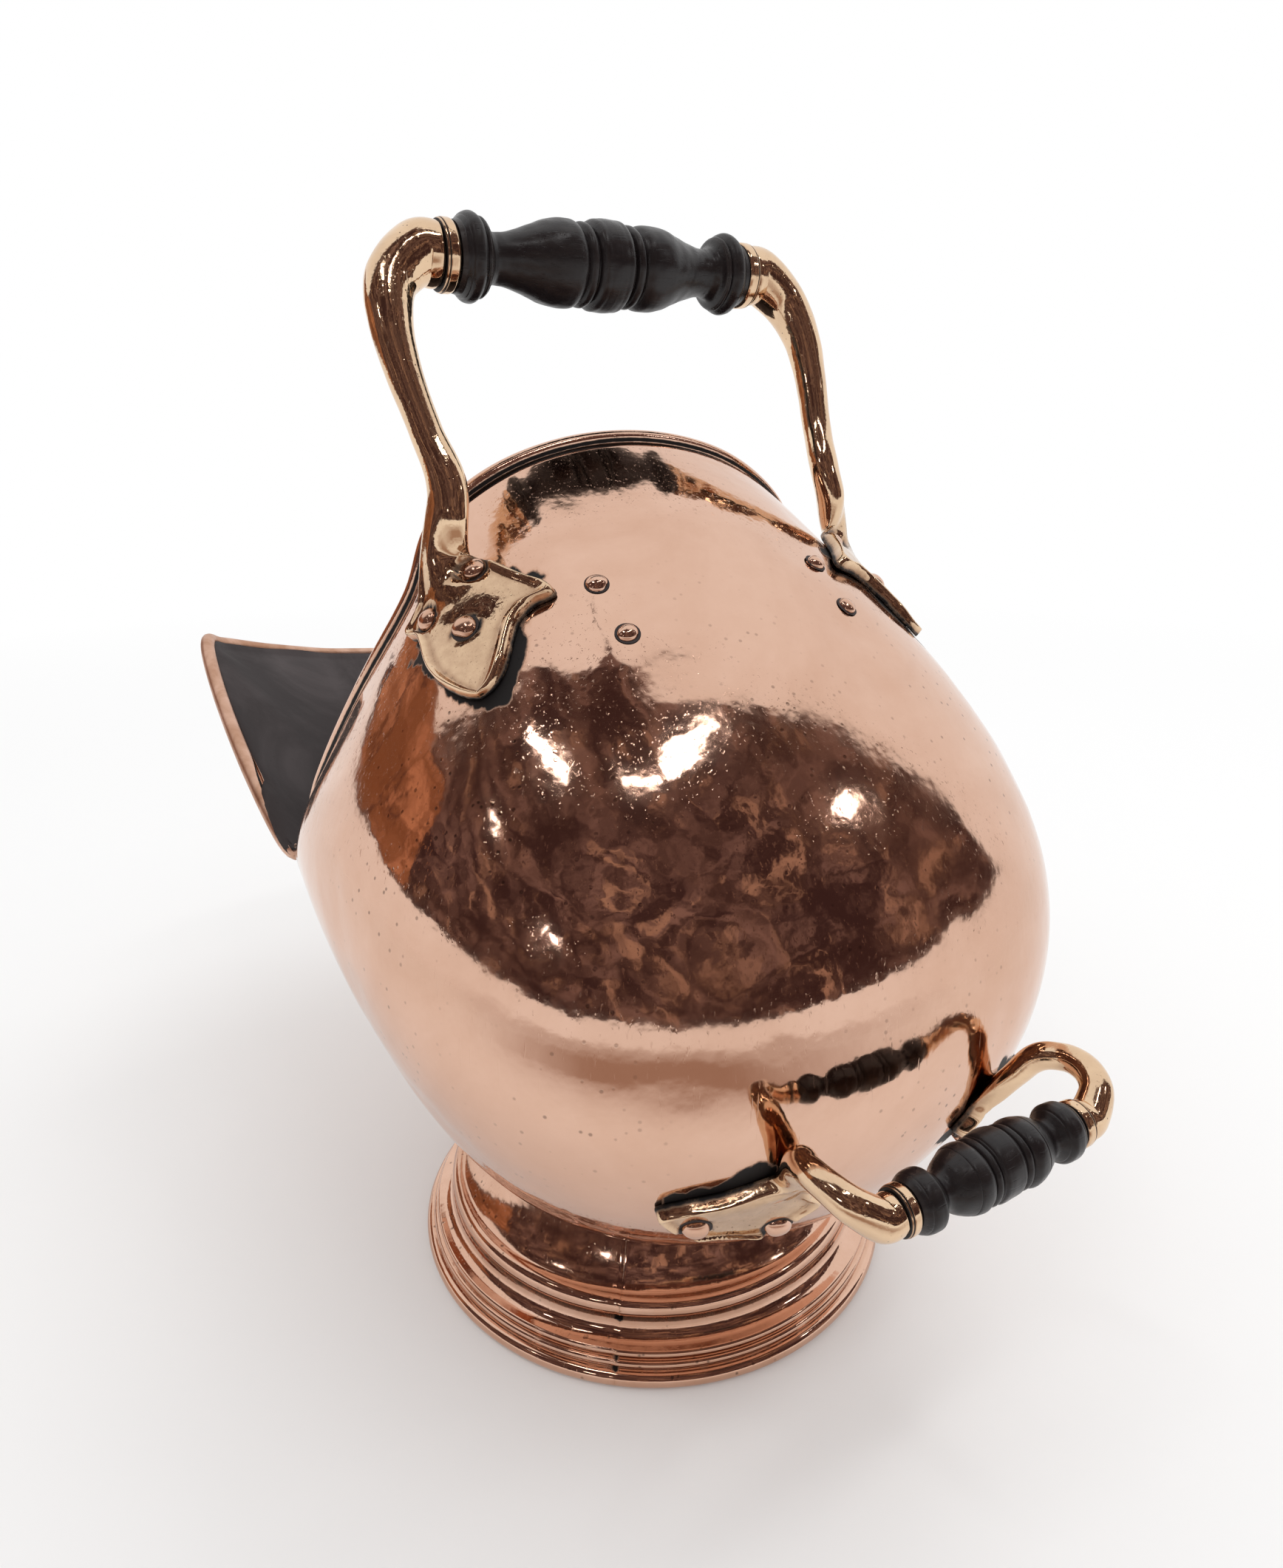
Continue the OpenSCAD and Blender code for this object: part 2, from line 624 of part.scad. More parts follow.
// A ferrule between a grip and its arm, with rounded edges
module ferrule(axis, start, width, r, rod_r) {
    round_r = width / 4;
    color(BRASS)
        along_y(axis + [0, start, 0])
            rotate_extrude($fn = 64)
                polygon(concat(
                    [[rod_r + seat_gap, 0]],
                    [for (t = [-90:22.5:0]) [r - round_r + round_r * cos(t),
                                             round_r + round_r * sin(t)]],
                    [for (t = [0:22.5:90]) [r - round_r + round_r * cos(t),
                                            width - round_r + round_r * sin(t)]],
                    [[rod_r + seat_gap, width]]));
}

module top_ferrule_left() {
    ferrule(top_axis, top_grip_half + end_gap, top_ferrule_w, top_ferrule_r, top_rod_r);
}
module top_ferrule_right() { mirror([0, 1, 0]) top_ferrule_left(); }
module rear_ferrule_left() {
    ferrule(rear_axis, rear_grip_half + end_gap, rear_ferrule_w, rear_ferrule_r, rear_rod_r);
}
module rear_ferrule_right() { mirror([0, 1, 0]) rear_ferrule_left(); }

module tie_rod(axis, start, r) {
    color(IRON)
        along_y(axis - [0, start + rod_depth, 0])
            cylinder(r = r, h = 2 * (start + rod_depth), $fn = 32);
}
module top_tie_rod() { tie_rod(top_axis, top_arm_start, top_rod_r); }
module rear_tie_rod() { tie_rod(rear_axis, rear_arm_start, rear_rod_r); }

// ---- rivets --------------------------------------------------------------

// Places on a plate as [sideways, down]
top_rivets = top_plate_tip * [[0.25, -0.353], [-0.368, -0.191], [0, 0.25]];
rear_rivets = rear_plate_lobe * [[-0.52, 0.42], [0.52, 0.44]];

// The two rivets behind each carrying plate, as places on the body
stay_places = [[156, 0.913], [157, 0.881]];

// Turns a piece made along Z so that it stands on the outside at a place
module standing_on(place) {
    n = skin_normal(place[0], place[1]);
    translate(skin(place[0], place[1]))
        rotate([0, acos(n[2]), atan2(n[1], n[0])])
            children();
}

// Depth below the outside at which a washer lies, clear of the curved sheet
rove_gap = 0.7;
rove_depth = sheet + rove_gap;
tail = rove_depth + rove_t + seat_gap;
tail_h = 1.2;
tail_r = rivet_r + 1.2;

module rivet(seat) {
    translate([0, 0, -tail]) cylinder(r = rivet_r, h = tail + seat + 0.2, $fn = 32);
    translate([0, 0, -tail - tail_h]) cylinder(r = tail_r, h = tail_h, $fn = 32);
    translate([0, 0, seat])
        rotate_extrude($fn = 48)
            polygon(concat([[0, 0]], [for (t = [0:15:90])
                [rivet_head_r * cos(t), rivet_head_h * sin(t)]]));
}

module rove() {
    translate([0, 0, -rove_depth - rove_t])
        difference() {
            cylinder(r = rove_r, h = rove_t, $fn = 48);
            translate([0, 0, -1])
                cylinder(r = rivet_r + seat_gap, h = rove_t + 2, $fn = 32);
        }
}

module shank_hole() {
    translate([0, 0, -sheet - 2])
        cylinder(r = rivet_r + seat_gap, h = sheet + plate_crown + 6, $fn = 32);
}

head_gap = 0.3;
seat_cut_h = 12;

// Height of a plate's outer face where a rivet sits
function rivet_seat(outline, spot) =
    plate_height(norm(spot) / outline_r(outline, atan2(spot[0], spot[1]))) + seat_gap;

module plate_rivets(at, outline, spots) {
    color(COPPER)
        for (spot = spots)
            standing_on(plate_place(at, spot[0], spot[1])) rivet(rivet_seat(outline, spot));
}

module plate_roves(at, spots) {
    color(COPPER)
        for (spot = spots) standing_on(plate_place(at, spot[0], spot[1])) rove();
}

module plate_rivet_holes(at, spots) {
    for (spot = spots) standing_on(plate_place(at, spot[0], spot[1])) shank_hole();
}

// Flat seats sunk into a plate round its rivets, each a little wider than the head
module plate_rivet_seats(at, outline, spots) {
    for (spot = spots)
        standing_on(plate_place(at, spot[0], spot[1]))
            translate([0, 0, rivet_seat(outline, spot) - seat_gap])
                cylinder(r = rivet_head_r + head_gap, h = seat_cut_h, $fn = 32);
}

module stay_rivet_holes() {
    for (place = stay_places) standing_on(place) shank_hole();
}

module left_rivet_holes() {
    plate_rivet_holes(TOP_PLATE, top_rivets);
    plate_rivet_holes(REAR_PLATE, rear_rivets);
    stay_rivet_holes();
}

module all_rivet_holes() {
    left_rivet_holes();
    mirror([0, 1, 0]) left_rivet_holes();
}

module top_rivets_left() { plate_rivets(TOP_PLATE, top_outline, top_rivets); }
module top_rivets_right() { mirror([0, 1, 0]) top_rivets_left(); }
module rear_rivets_left() { plate_rivets(REAR_PLATE, rear_outline, rear_rivets); }
module rear_rivets_right() { mirror([0, 1, 0]) rear_rivets_left(); }
module stay_rivets_left() {
    color(COPPER) for (place = stay_places) standing_on(place) rivet(seat_gap);
}
module stay_rivets_right() { mirror([0, 1, 0]) stay_rivets_left(); }

module top_roves_left() { plate_roves(TOP_PLATE, top_rivets); }
module top_roves_right() { mirror([0, 1, 0]) top_roves_left(); }
module rear_roves_left() { plate_roves(REAR_PLATE, rear_rivets); }
module rear_roves_right() { mirror([0, 1, 0]) rear_roves_left(); }

// An iron strap inside the hood, held by the two rivets behind a carrying plate
stay_strap_half_w = 7;
module stay_strap_left() {
    color(IRON)
        difference() {
            hull()
                for (place = stay_places)
                    standing_on(place)
                        translate([0, 0, -rove_depth - rove_t])
                            cylinder(r = stay_strap_half_w, h = rove_t - 0.2, $fn = 32);
            stay_rivet_holes();
            for (place = stay_places)
                standing_on(place)
                    translate([0, 0, -tail - tail_h])
                        cylinder(r = tail_r + head_gap, h = tail_h + seat_gap, $fn = 32);
        }
}
module stay_strap_right() { mirror([0, 1, 0]) stay_strap_left(); }

body_shell();
rim_bead();
rim_wire();
foot_base();
foot_wire();
braze_ring();
top_arm_left();
top_arm_right();
top_ferrule_left();
top_ferrule_right();
top_grip();
top_tie_rod();
rear_arm_left();
rear_arm_right();
rear_ferrule_left();
rear_ferrule_right();
rear_grip();
rear_tie_rod();
top_rivets_left();
top_rivets_right();
rear_rivets_left();
rear_rivets_right();
stay_rivets_left();
stay_rivets_right();
top_roves_left();
top_roves_right();
rear_roves_left();
rear_roves_right();
stay_strap_left();
stay_strap_right();
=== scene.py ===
"""A copper helmet coal scuttle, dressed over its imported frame.

Each shape is a surface of two parameters, worked out with numpy in millimetres in the
part's own frame: +X to the pouring lip, +Y to the scuttle's left, +Z up, and the origin
under the middle of the foot. A place on the body is a compass angle (0 at the lip, 90 on
the left) and a share of the way up from the neck to the edge of the mouth.
"""

import math

import bpy
import numpy as np
from bpy.props import FloatProperty, FloatVectorProperty, PointerProperty
from mathutils import Matrix, Vector


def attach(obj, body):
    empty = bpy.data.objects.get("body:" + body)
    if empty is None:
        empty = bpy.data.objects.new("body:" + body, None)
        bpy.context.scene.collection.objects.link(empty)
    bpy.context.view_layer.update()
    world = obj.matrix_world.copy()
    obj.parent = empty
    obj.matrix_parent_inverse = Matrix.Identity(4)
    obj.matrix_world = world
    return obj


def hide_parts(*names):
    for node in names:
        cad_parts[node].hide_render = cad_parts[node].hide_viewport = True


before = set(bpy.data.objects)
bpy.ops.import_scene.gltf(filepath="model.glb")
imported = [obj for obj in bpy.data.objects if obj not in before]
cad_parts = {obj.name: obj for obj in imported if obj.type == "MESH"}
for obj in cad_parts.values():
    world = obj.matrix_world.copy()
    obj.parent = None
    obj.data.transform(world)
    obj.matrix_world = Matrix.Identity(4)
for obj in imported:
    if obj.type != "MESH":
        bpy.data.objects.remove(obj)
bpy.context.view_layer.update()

bl_info = {
    "name": "Copper coal scuttle",
    "version": (1, 0, 0),
    "blender": (4, 5, 0),
    "location": "3D View > Sidebar > Scuttle",
    "description": "Builds a copper helmet coal scuttle with brass handles over its frame",
    "category": "Object",
}

MM = 0.001


# ---- sizes and colours that a user may change ------------------------------


def length(name, text, default):
    return FloatProperty(name=name, description=text, default=default, min=0, unit="LENGTH", precision=4)


def factor(name, text, default):
    return FloatProperty(name=name, description=text, default=default, min=0, max=1, subtype="FACTOR")


def colour(name, text, default):
    return FloatVectorProperty(
        name=name, description=text, default=default, size=3, min=0, max=1, subtype="COLOR"
    )


class ScuttleSizes(bpy.types.PropertyGroup):
    """Sizes of the copper, the castings and the grips."""

    sheet: length("Sheet", "Thickness of the body's copper sheet", 0.0016)
    bead: length("Bead", "Radius of the rolled bead round the mouth", 0.0034)
    crease: length("Crease", "Depth of the crease under the rolled bead", 0.0012)
    hammering: length("Hammering", "Height of the hammer's hollows in the body", 0.0003)
    foot_radius: length("Foot radius", "Radius of the foot's rolled edge", 0.1)
    foot_height: length("Foot height", "Height of the foot up to the body", 0.052)
    neck_radius: length("Neck radius", "Radius of the body where it meets the foot", 0.068)
    seam: length("Foot seam", "Step of the lapped seam in the foot", 0.00035)
    head_radius: length("Rivet radius", "Radius of a rivet's domed head", 0.0042)
    head_height: length("Rivet height", "Height of a rivet's domed head", 0.0028)
    top_arm: length("Carrying arm", "Radius of a carrying arm below its elbow", 0.0064)
    rear_arm: length("Tipping arm", "Radius of a tipping arm below its elbow", 0.0042)
    plate: length("Plate", "Thickness of a handle plate in its dished middle", 0.0022)
    border: length("Border", "Height of a handle plate's raised border over the dish", 0.0014)
    top_grip: length("Carrying grip", "Half length of the carrying grip", 0.058)
    rear_grip: length("Tipping grip", "Half length of the tipping grip", 0.031)


class ScuttleFinishes(bpy.types.PropertyGroup):
    """Colours of the metals and the wood, and how worn they are."""

    copper: colour("Copper", "Polished copper", (0.74, 0.48, 0.36))
    copper_shade: colour("Worn copper", "Copper where the polish is thin", (0.56, 0.31, 0.2))
    raw_copper: colour("Raw copper", "Unpolished copper of the lip's inner edge", (0.5, 0.27, 0.17))
    brass: colour("Brass", "Polished cast brass", (0.78, 0.56, 0.37))
    brass_shade: colour("Worn brass", "Brass in its hollows", (0.36, 0.21, 0.13))
    wood: colour("Ebonised wood", "Blackened wood of the grips", (0.0085, 0.0058, 0.0064))
    wood_worn: colour("Rubbed wood", "Wood where hands have rubbed it", (0.02, 0.0135, 0.012))
    soot: colour("Soot", "Dark coating inside the body", (0.036, 0.028, 0.028))
    iron: colour("Iron", "Wires, tie rods and straps", (0.16, 0.14, 0.13))
    # This near black colour also paints the shade in the crease, at joints and round plates and rivets
    grime_and_shade: colour("Grime", "Old polish and soot in corners", (0.006, 0.004, 0.004))
    floor: colour("Floor", "Pale studio floor", (0.9, 0.9, 0.9))
    polish: factor("Polish", "Roughness of the polished metal", 0.06)
    wear: factor("Wear", "How much tarnish, scratches and grime show", 0.6)


def sizes():
    """The sizes in millimetres, by name."""
    held = bpy.context.scene.scuttle_sizes
    return {name: getattr(held, name) / MM for name in ScuttleSizes.__annotations__}


def finishes():
    return bpy.context.scene.scuttle_finishes


# ---- numbers, curves and ripples -------------------------------------------


def unit(v):
    return v / np.linalg.norm(v, axis=-1, keepdims=True)


def dot(a, b):
    return np.sum(a * b, axis=-1, keepdims=True)


def mix(a, b, t):
    return a + (b - a) * t


def ease(x, low, high):
    """0 below low, 1 above high, and t * t * (3 - 2t) between them."""
    t = np.clip((x - low) / (high - low), 0, 1)
    return t * t * (3 - 2 * t)


def hump(x, middle, width):
    """A bell curve: exp of minus the squared distance from middle in widths."""
    return np.exp(-(((x - middle) / width) ** 2))


def spline(keys, s):
    """A smooth curve through keys at place s, 0 to len - 1: the Catmull-Rom cubic."""
    keys = np.asarray(keys, float)
    last = len(keys) - 1
    ends = np.concatenate([[2 * keys[0] - keys[1]], keys, [2 * keys[last] - keys[last - 1]]])
    return cubic(ends, s, last)


def cubic(ends, s, last):
    i = np.clip(np.floor(s).astype(int), 0, last - 1)
    t = (s - i)[(...,) + (None,) * (ends.ndim - 1)]
    a, b, c, d = ends[i], ends[i + 1], ends[i + 2], ends[i + 3]
    return 0.5 * (
        2 * b + (c - a) * t + (2 * a - 5 * b + 4 * c - d) * t**2 + (3 * b - a - 3 * c + d) * t**3
    )


def table(x, places, values):
    """A smooth curve through values at uneven places: cubic steps with central slopes."""
    places, values = np.asarray(places, float), np.asarray(values, float)
    slopes = np.gradient(values, places)
    i = np.clip(np.searchsorted(places, x) - 1, 0, len(places) - 2)
    h = places[i + 1] - places[i]
    t = np.clip((x - places[i]) / h, 0, 1)
    return (
        (1 + 2 * t) * (1 - t) ** 2 * values[i]
        + t * (1 - t) ** 2 * h * slopes[i]
        + t * t * (3 - 2 * t) * values[i + 1]
        + t * t * (t - 1) * h * slopes[i + 1]
    )


def mirrored(grid):
    return grid * np.array([1, -1, 1])


def ripples(points, wave, seed, waves=28):
    """An even, smooth unevenness: the sum of plane waves in seeded directions, with
    lengths near the one given, scaled so that its usual height is 1."""
    rng = np.random.default_rng(seed)
    directions = unit(rng.normal(size=(waves, 3)))
    numbers = directions * (2 * np.pi / (wave * rng.uniform(0.75, 1.45, waves)))[:, None]
    phases = rng.uniform(0, 2 * np.pi, waves)
    return np.cos(points @ numbers.T + phases).sum(-1) * math.sqrt(2 / waves)


# ---- the mouth's edge and the body's surface -------------------------------

# The compass angles of the points in rim_keys
RIM_ANGLES = np.array([0, 7, 14, 21, 28, 36, 44, 52, 70, 88, 106, 130, 155, 180], float)
# The left edge's three corners, and how far its lip and its hood reach and rise
CREST, NOTCH, SHOULDER = np.array([[233, 126, 225], [80, 122, 168], [27, 84, 277]], float)
LIP_X, LIP_Z, HOOD_X, HOOD_Z = 282, 198, 21, 330
# The neck's radius and height, and the two rings that pull the outside, as in pull_ring
NECK = (68.0, 52.0)
LOW_PULL = (122, -117, -48, 130, -8, 95, 61, 129)
HIGH_PULL = (155, -261, -70, 158, 12, 167, 180, 196)


def rim_keys():
    """Points along the left half of the mouth's edge: a quarter of an ellipse round the
    lip, two bowed side edges that meet in the notch, and a quarter arch of the hood."""
    t = np.radians([0, 22.5, 45, 67.5])
    x, y, z = CREST
    lip = np.stack([mix(x, LIP_X, np.cos(t)), y * np.sin(t), mix(LIP_Z, z, np.sin(t) ** 2)], 1)
    s = np.array([0, 1 / 3, 2 / 3])[:, None]
    bow = np.array([0, 1, 0]) * np.sin(np.pi * s)
    sides = [mix(CREST, NOTCH, s) + 5 * bow, mix(NOTCH, SHOULDER, s) + 4 * bow]
    t = np.radians([0, 30, 60, 90])
    x, y, z = SHOULDER
    arch = np.stack([mix(x, HOOD_X, np.sin(t)), y * np.cos(t), mix(z, HOOD_Z, np.sin(t))], 1)
    return np.concatenate([lip, *sides, arch])


def rim(angle):
    """The mouth's edge: a smooth curve through its keys, the right half mirrored."""
    a = np.mod(angle, 360.0)
    keys, last = rim_keys(), len(RIM_ANGLES) - 1
    ends = np.concatenate([mirrored(keys[1:2]), keys, mirrored(keys[-2:-1])])
    point = cubic(ends, np.interp(np.where(a > 180, 360 - a, a), RIM_ANGLES, np.arange(last + 1)), last)
    point[..., 1] *= np.where(a > 180, -1.0, 1.0)
    return point


def pull_ring(angle, front, back, side_x, side_y, skew, front_z, back_z, side_z):
    """A ring of pulls: its constant, cosine and double cosine terms pass through the
    front, back and side places, and the skew adds a double sine to its width."""
    a = np.radians(angle)
    mid_x, mid_z = (front + back) / 2, (front_z + back_z) / 2
    c, c2 = np.cos(a), np.cos(2 * a)
    x = (mid_x + side_x) / 2 + (front - back) / 2 * c + (mid_x - side_x) / 2 * c2
    z = (mid_z + side_z) / 2 + (front_z - back_z) / 2 * c + (mid_z - side_z) / 2 * c2
    return np.stack([x, side_y * np.sin(a) + skew * np.sin(2 * a), z], -1)


def skin(angle, v):
    """The body's outside: a cubic from the neck's circle to the mouth's edge, weighted
    (1-v)^3 neck + 3v(1-v)^2 low pull + 3v^2(1-v) high pull + v^3 edge."""
    angle, v = np.broadcast_arrays(np.asarray(angle, float), np.asarray(v, float))
    w, a = v[..., None], np.radians(angle)
    neck = np.stack([NECK[0] * np.cos(a), NECK[0] * np.sin(a), np.full_like(a, NECK[1])], -1)
    return (
        (1 - w) ** 3 * neck
        + 3 * w * (1 - w) ** 2 * pull_ring(angle, *LOW_PULL)
        + 3 * w * w * (1 - w) * pull_ring(angle, *HIGH_PULL)
        + w**3 * rim(angle)
    )


def slopes(angle, v):
    """How the outside runs round and up at a place, by small differences."""
    low, high = np.maximum(v - 0.005, 0), np.minimum(v + 0.005, 1)
    around = skin(angle + 0.5, v) - skin(angle - 0.5, v)
    return around, (skin(angle, high) - skin(angle, low)) / (high - low)[..., None]


def skin_normal(angle, v):
    angle, v = np.broadcast_arrays(np.asarray(angle, float), np.asarray(v, float))
    return unit(np.cross(*slopes(angle, v)))


def above(angle, v, height):
    """A point at a height above the outside, along its normal."""
    return skin(angle, v) + np.asarray(height)[..., None] * skin_normal(angle, v)


def rim_frame(angle):
    """Directions at the edge: straight on from the sheet, outwards, and the sheet's rise."""
    along = unit(rim(angle + 0.5) - rim(angle - 0.5))
    up = slopes(angle, np.ones_like(angle))[1]
    rise = up - dot(up, along) * along
    ahead = unit(rise)
    return ahead, np.cross(along, ahead), np.linalg.norm(rise, axis=-1)


# ---- meshes from grids of points -------------------------------------------


def patch(grid, wrap=False, finish=0, **marks):
    """A closed surface from a grid of rows and columns of points. Columns close on
    themselves, rows do if wrap is set, and else each end is closed by a fan of triangles.
    Its signed volume, a sixth of the summed triple products, turns its faces outwards."""
    rows, columns = grid.shape[:2]
    points = grid.reshape(-1, 3)
    marks = {k: np.broadcast_to(m, (rows, columns)).ravel() for k, m in marks.items()}
    i = np.arange(rows if wrap else rows - 1)[:, None]
    j = np.arange(columns)[None, :]
    a, b = i * columns + j, i * columns + (j + 1) % columns
    d, c = (i + 1) % rows * columns + j, (i + 1) % rows * columns + (j + 1) % columns
    quads = np.stack([a, b, c, d], -1).reshape(-1, 4)
    row_finish = np.broadcast_to(finish, (rows,))
    fans, fan_finish = [np.zeros((0, 3), int)], [np.zeros(0, int)]
    for first, second, row in () if wrap else ((b[0], a[0], 0), (d[-1], c[-1], rows - 1)):
        fans.append(np.stack([first, second, np.full(columns, len(points))], -1))
        fan_finish.append(np.full(columns, row_finish[row]))
        points = np.vstack([points, grid[row].mean(0)])
        held = slice(row * columns, (row + 1) * columns)
        marks = {k: np.append(m, m[held].mean()) for k, m in marks.items()}
    fans = np.concatenate(fans)
    finish = (np.repeat(row_finish[: len(i)], columns), np.concatenate(fan_finish))
    halves = np.concatenate([quads[:, [0, 1, 2]], quads[:, [0, 2, 3]], fans])
    p, q, r = (points[halves[:, k]] for k in range(3))
    if np.sum(p * np.cross(q, r)) < 0:
        quads, fans = quads[:, ::-1], fans[:, ::-1]
    return {"points": points, "quads": quads, "fans": fans, "finish": finish, "marks": marks}


def add_piece(name, patches, materials, body, nodes, keen=None):
    """Puts patches into one mesh, in metres, ties it to its body and hides the frame's nodes it replaces."""
    points = np.concatenate([p["points"] for p in patches])
    starts = np.cumsum([0] + [len(p["points"]) for p in patches])
    quads, fans = (
        np.concatenate([p[kind] + start for p, start in zip(patches, starts)]) for kind in ("quads", "fans")
    )
    finish = np.concatenate([p["finish"][k] for k in (0, 1) for p in patches])
    first = np.append(np.arange(len(quads)) * 4, len(quads) * 4 + np.arange(len(fans)) * 3)
    mesh = bpy.data.meshes.new(name)
    for held, key, values in (
        (mesh.vertices, "co", (points * MM).astype(np.float32).ravel()),
        (mesh.loops, "vertex_index", np.append(quads.ravel(), fans.ravel()).astype(np.int32)),
        (mesh.polygons, "loop_start", first.astype(np.int32)),
    ):
        held.add(len(points) if key == "co" else len(values))
        held.foreach_set(key, values)
    for material in materials:
        mesh.materials.append(finish_of(material))
    mesh.polygons.foreach_set("material_index", finish.astype(np.int32))
    mesh.polygons.foreach_set("use_smooth", np.ones(len(first), bool))
    mesh.update(calc_edges=True)
    for mark in sorted({k for p in patches for k in p["marks"]}):
        values = [p["marks"].get(mark, np.zeros(len(p["points"]))) for p in patches]
        layer = mesh.attributes.new(mark, "FLOAT", "POINT")
        layer.data.foreach_set("value", np.concatenate(values).astype(np.float32))
    mesh.validate()
    if keen:
        mesh.set_sharp_from_angle(angle=math.radians(keen))
    piece = bpy.data.objects.new(name, mesh)
    bpy.context.scene.collection.objects.link(piece)
    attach(piece, body)
    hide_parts(*nodes)
    return piece


def turned(profile, place, axis, columns, wobble=None):
    """A profile of (radius, distance along the axis) carried round an axis:
    place + along * axis + radius * (cos t * side + sin t * other side)."""
    axis = unit(np.asarray(axis, float))
    helper = np.array([0, 0, 1.0]) if abs(axis[2]) < 0.9 else np.array([1.0, 0, 0])
    side = unit(np.cross(helper, axis))
    t = np.linspace(0, 2 * np.pi, columns, endpoint=False)[None, :, None]
    spoke = np.cos(t) * side + np.sin(t) * np.cross(axis, side)
    radius, along = (np.asarray(profile, float)[:, k][:, None, None] for k in (0, 1))
    if wobble is not None:
        spots = along * axis + radius * spoke
        radius = radius + np.where(radius > 0, wobble(spots)[..., None], 0)
    return place + along * axis + radius * spoke


# ---- finishes ---------------------------------------------------------------


class Nodes:
    """A few words for the nodes of a material or of the world."""

    def __init__(self, owner):
        owner.use_nodes = True
        self.tree = owner.node_tree

    def add(self, kind, values=None, **settings):
        node = self.tree.nodes.new(kind)
        for key, value in settings.items():
            setattr(node, key, value)
        for key, value in (values or {}).items():
            self.put(node.inputs[key], value)
        return node

    def put(self, socket, value):
        if isinstance(value, bpy.types.NodeSocket):
            self.tree.links.new(value, socket)
        elif socket.type == "RGBA":
            socket.default_value = (*tuple(value)[:3], 1)
        else:
            socket.default_value = value

    def compute(self, how, a, b):
        return self.add("ShaderNodeMath", {0: a, 1: b}, operation=how).outputs[0]

    def times(self, a, b):
        return self.compute("MULTIPLY", a, b)

    def plus(self, a, b):
        return self.compute("ADD", a, b)

    def most(self, *values):
        first, *rest = values
        return self.compute("MAXIMUM", first, self.most(*rest)) if rest else first

    def ray(self, kind):
        return self.add("ShaderNodeLightPath").outputs[f"Is {kind} Ray"]

    def direct_rays(self):
        """1 for rays from the camera, off metal and through glass, 0 for diffuse light."""
        return self.most(*map(self.ray, ("Camera", "Glossy", "Transmission")))


class Finish(Nodes):
    """A procedural material, all on object coordinates."""

    def __init__(self, name):
        self.material = bpy.data.materials.new(name)
        super().__init__(self.material)
        self.shader = self.tree.nodes["Principled BSDF"]
        self.place = self.add("ShaderNodeTexCoord").outputs["Object"]
        self.normal = None

    def set(self, **values):
        for key, value in values.items():
            self.put(self.shader.inputs[key.replace("_", " ").title().replace("Ior", "IOR")], value)
        return self

    def stretched(self, scale, turn=(0, 0, 0)):
        values = {"Vector": self.place, "Scale": scale, "Rotation": turn}
        return self.add("ShaderNodeMapping", values).outputs[0]

    def noise(self, scale, detail=3.0, rough=0.5, bend=0.0, place=None):
        values = {"Vector": place or self.place, "Scale": scale, "Detail": detail}
        values.update({"Roughness": rough, "Distortion": bend})
        return self.add("ShaderNodeTexNoise", values).outputs[0]

    def cells(self, scale):
        return self.add("ShaderNodeTexVoronoi", {"Vector": self.place, "Scale": scale}).outputs["Distance"]

    def spread(self, value, low, high, to_low=0.0, to_high=1.0):
        values = {0: value, 1: low, 2: high, 3: to_low, 4: to_high}
        return self.add("ShaderNodeMapRange", values, clamp=True).outputs[0]

    def blend(self, amount, a, b):
        values = {0: amount, 6: a, 7: b}
        return self.add("ShaderNodeMix", values, data_type="RGBA").outputs[2]

    def mark(self, name):
        return self.add("ShaderNodeAttribute", attribute_name=name).outputs["Fac"]

    def ragged(self, name, scale, amount, rough=0.7):
        """A mark with its edge broken up by fine noise."""
        return self.plus(self.mark(name), self.times(self.noise(scale, 4, rough), amount))

    def hairlines(self, scale, turn, low, high):
        """Fine polishing lines: noise drawn out forty times along one direction."""
        place = self.stretched((scale, scale, scale / 40), turn)
        return self.spread(self.noise(1.0, 2.0, 0.6, place=place), low, high)

    def bump(self, height, depth, strength=1.0):
        values = {"Height": height, "Distance": depth, "Strength": strength}
        if self.normal is not None:
            values["Normal"] = self.normal
        self.normal = self.add("ShaderNodeBump", values).outputs[0]
        return self

    def done(self):
        if self.normal is not None:
            self.put(self.shader.inputs["Normal"], self.normal)
        return self.material

    def glow(self, tone, amount=1.0):
        """Takes the material over to light of its own, of one tone."""
        light = self.add("ShaderNodeEmission", {"Color": tone, "Strength": 1.0}).outputs[0]
        both = {0: amount, 1: self.shader.outputs[0], 2: light}
        both = self.add("ShaderNodeMixShader", both).outputs[0]
        self.put(self.tree.nodes["Material Output"].inputs["Surface"], both)
        return self.material


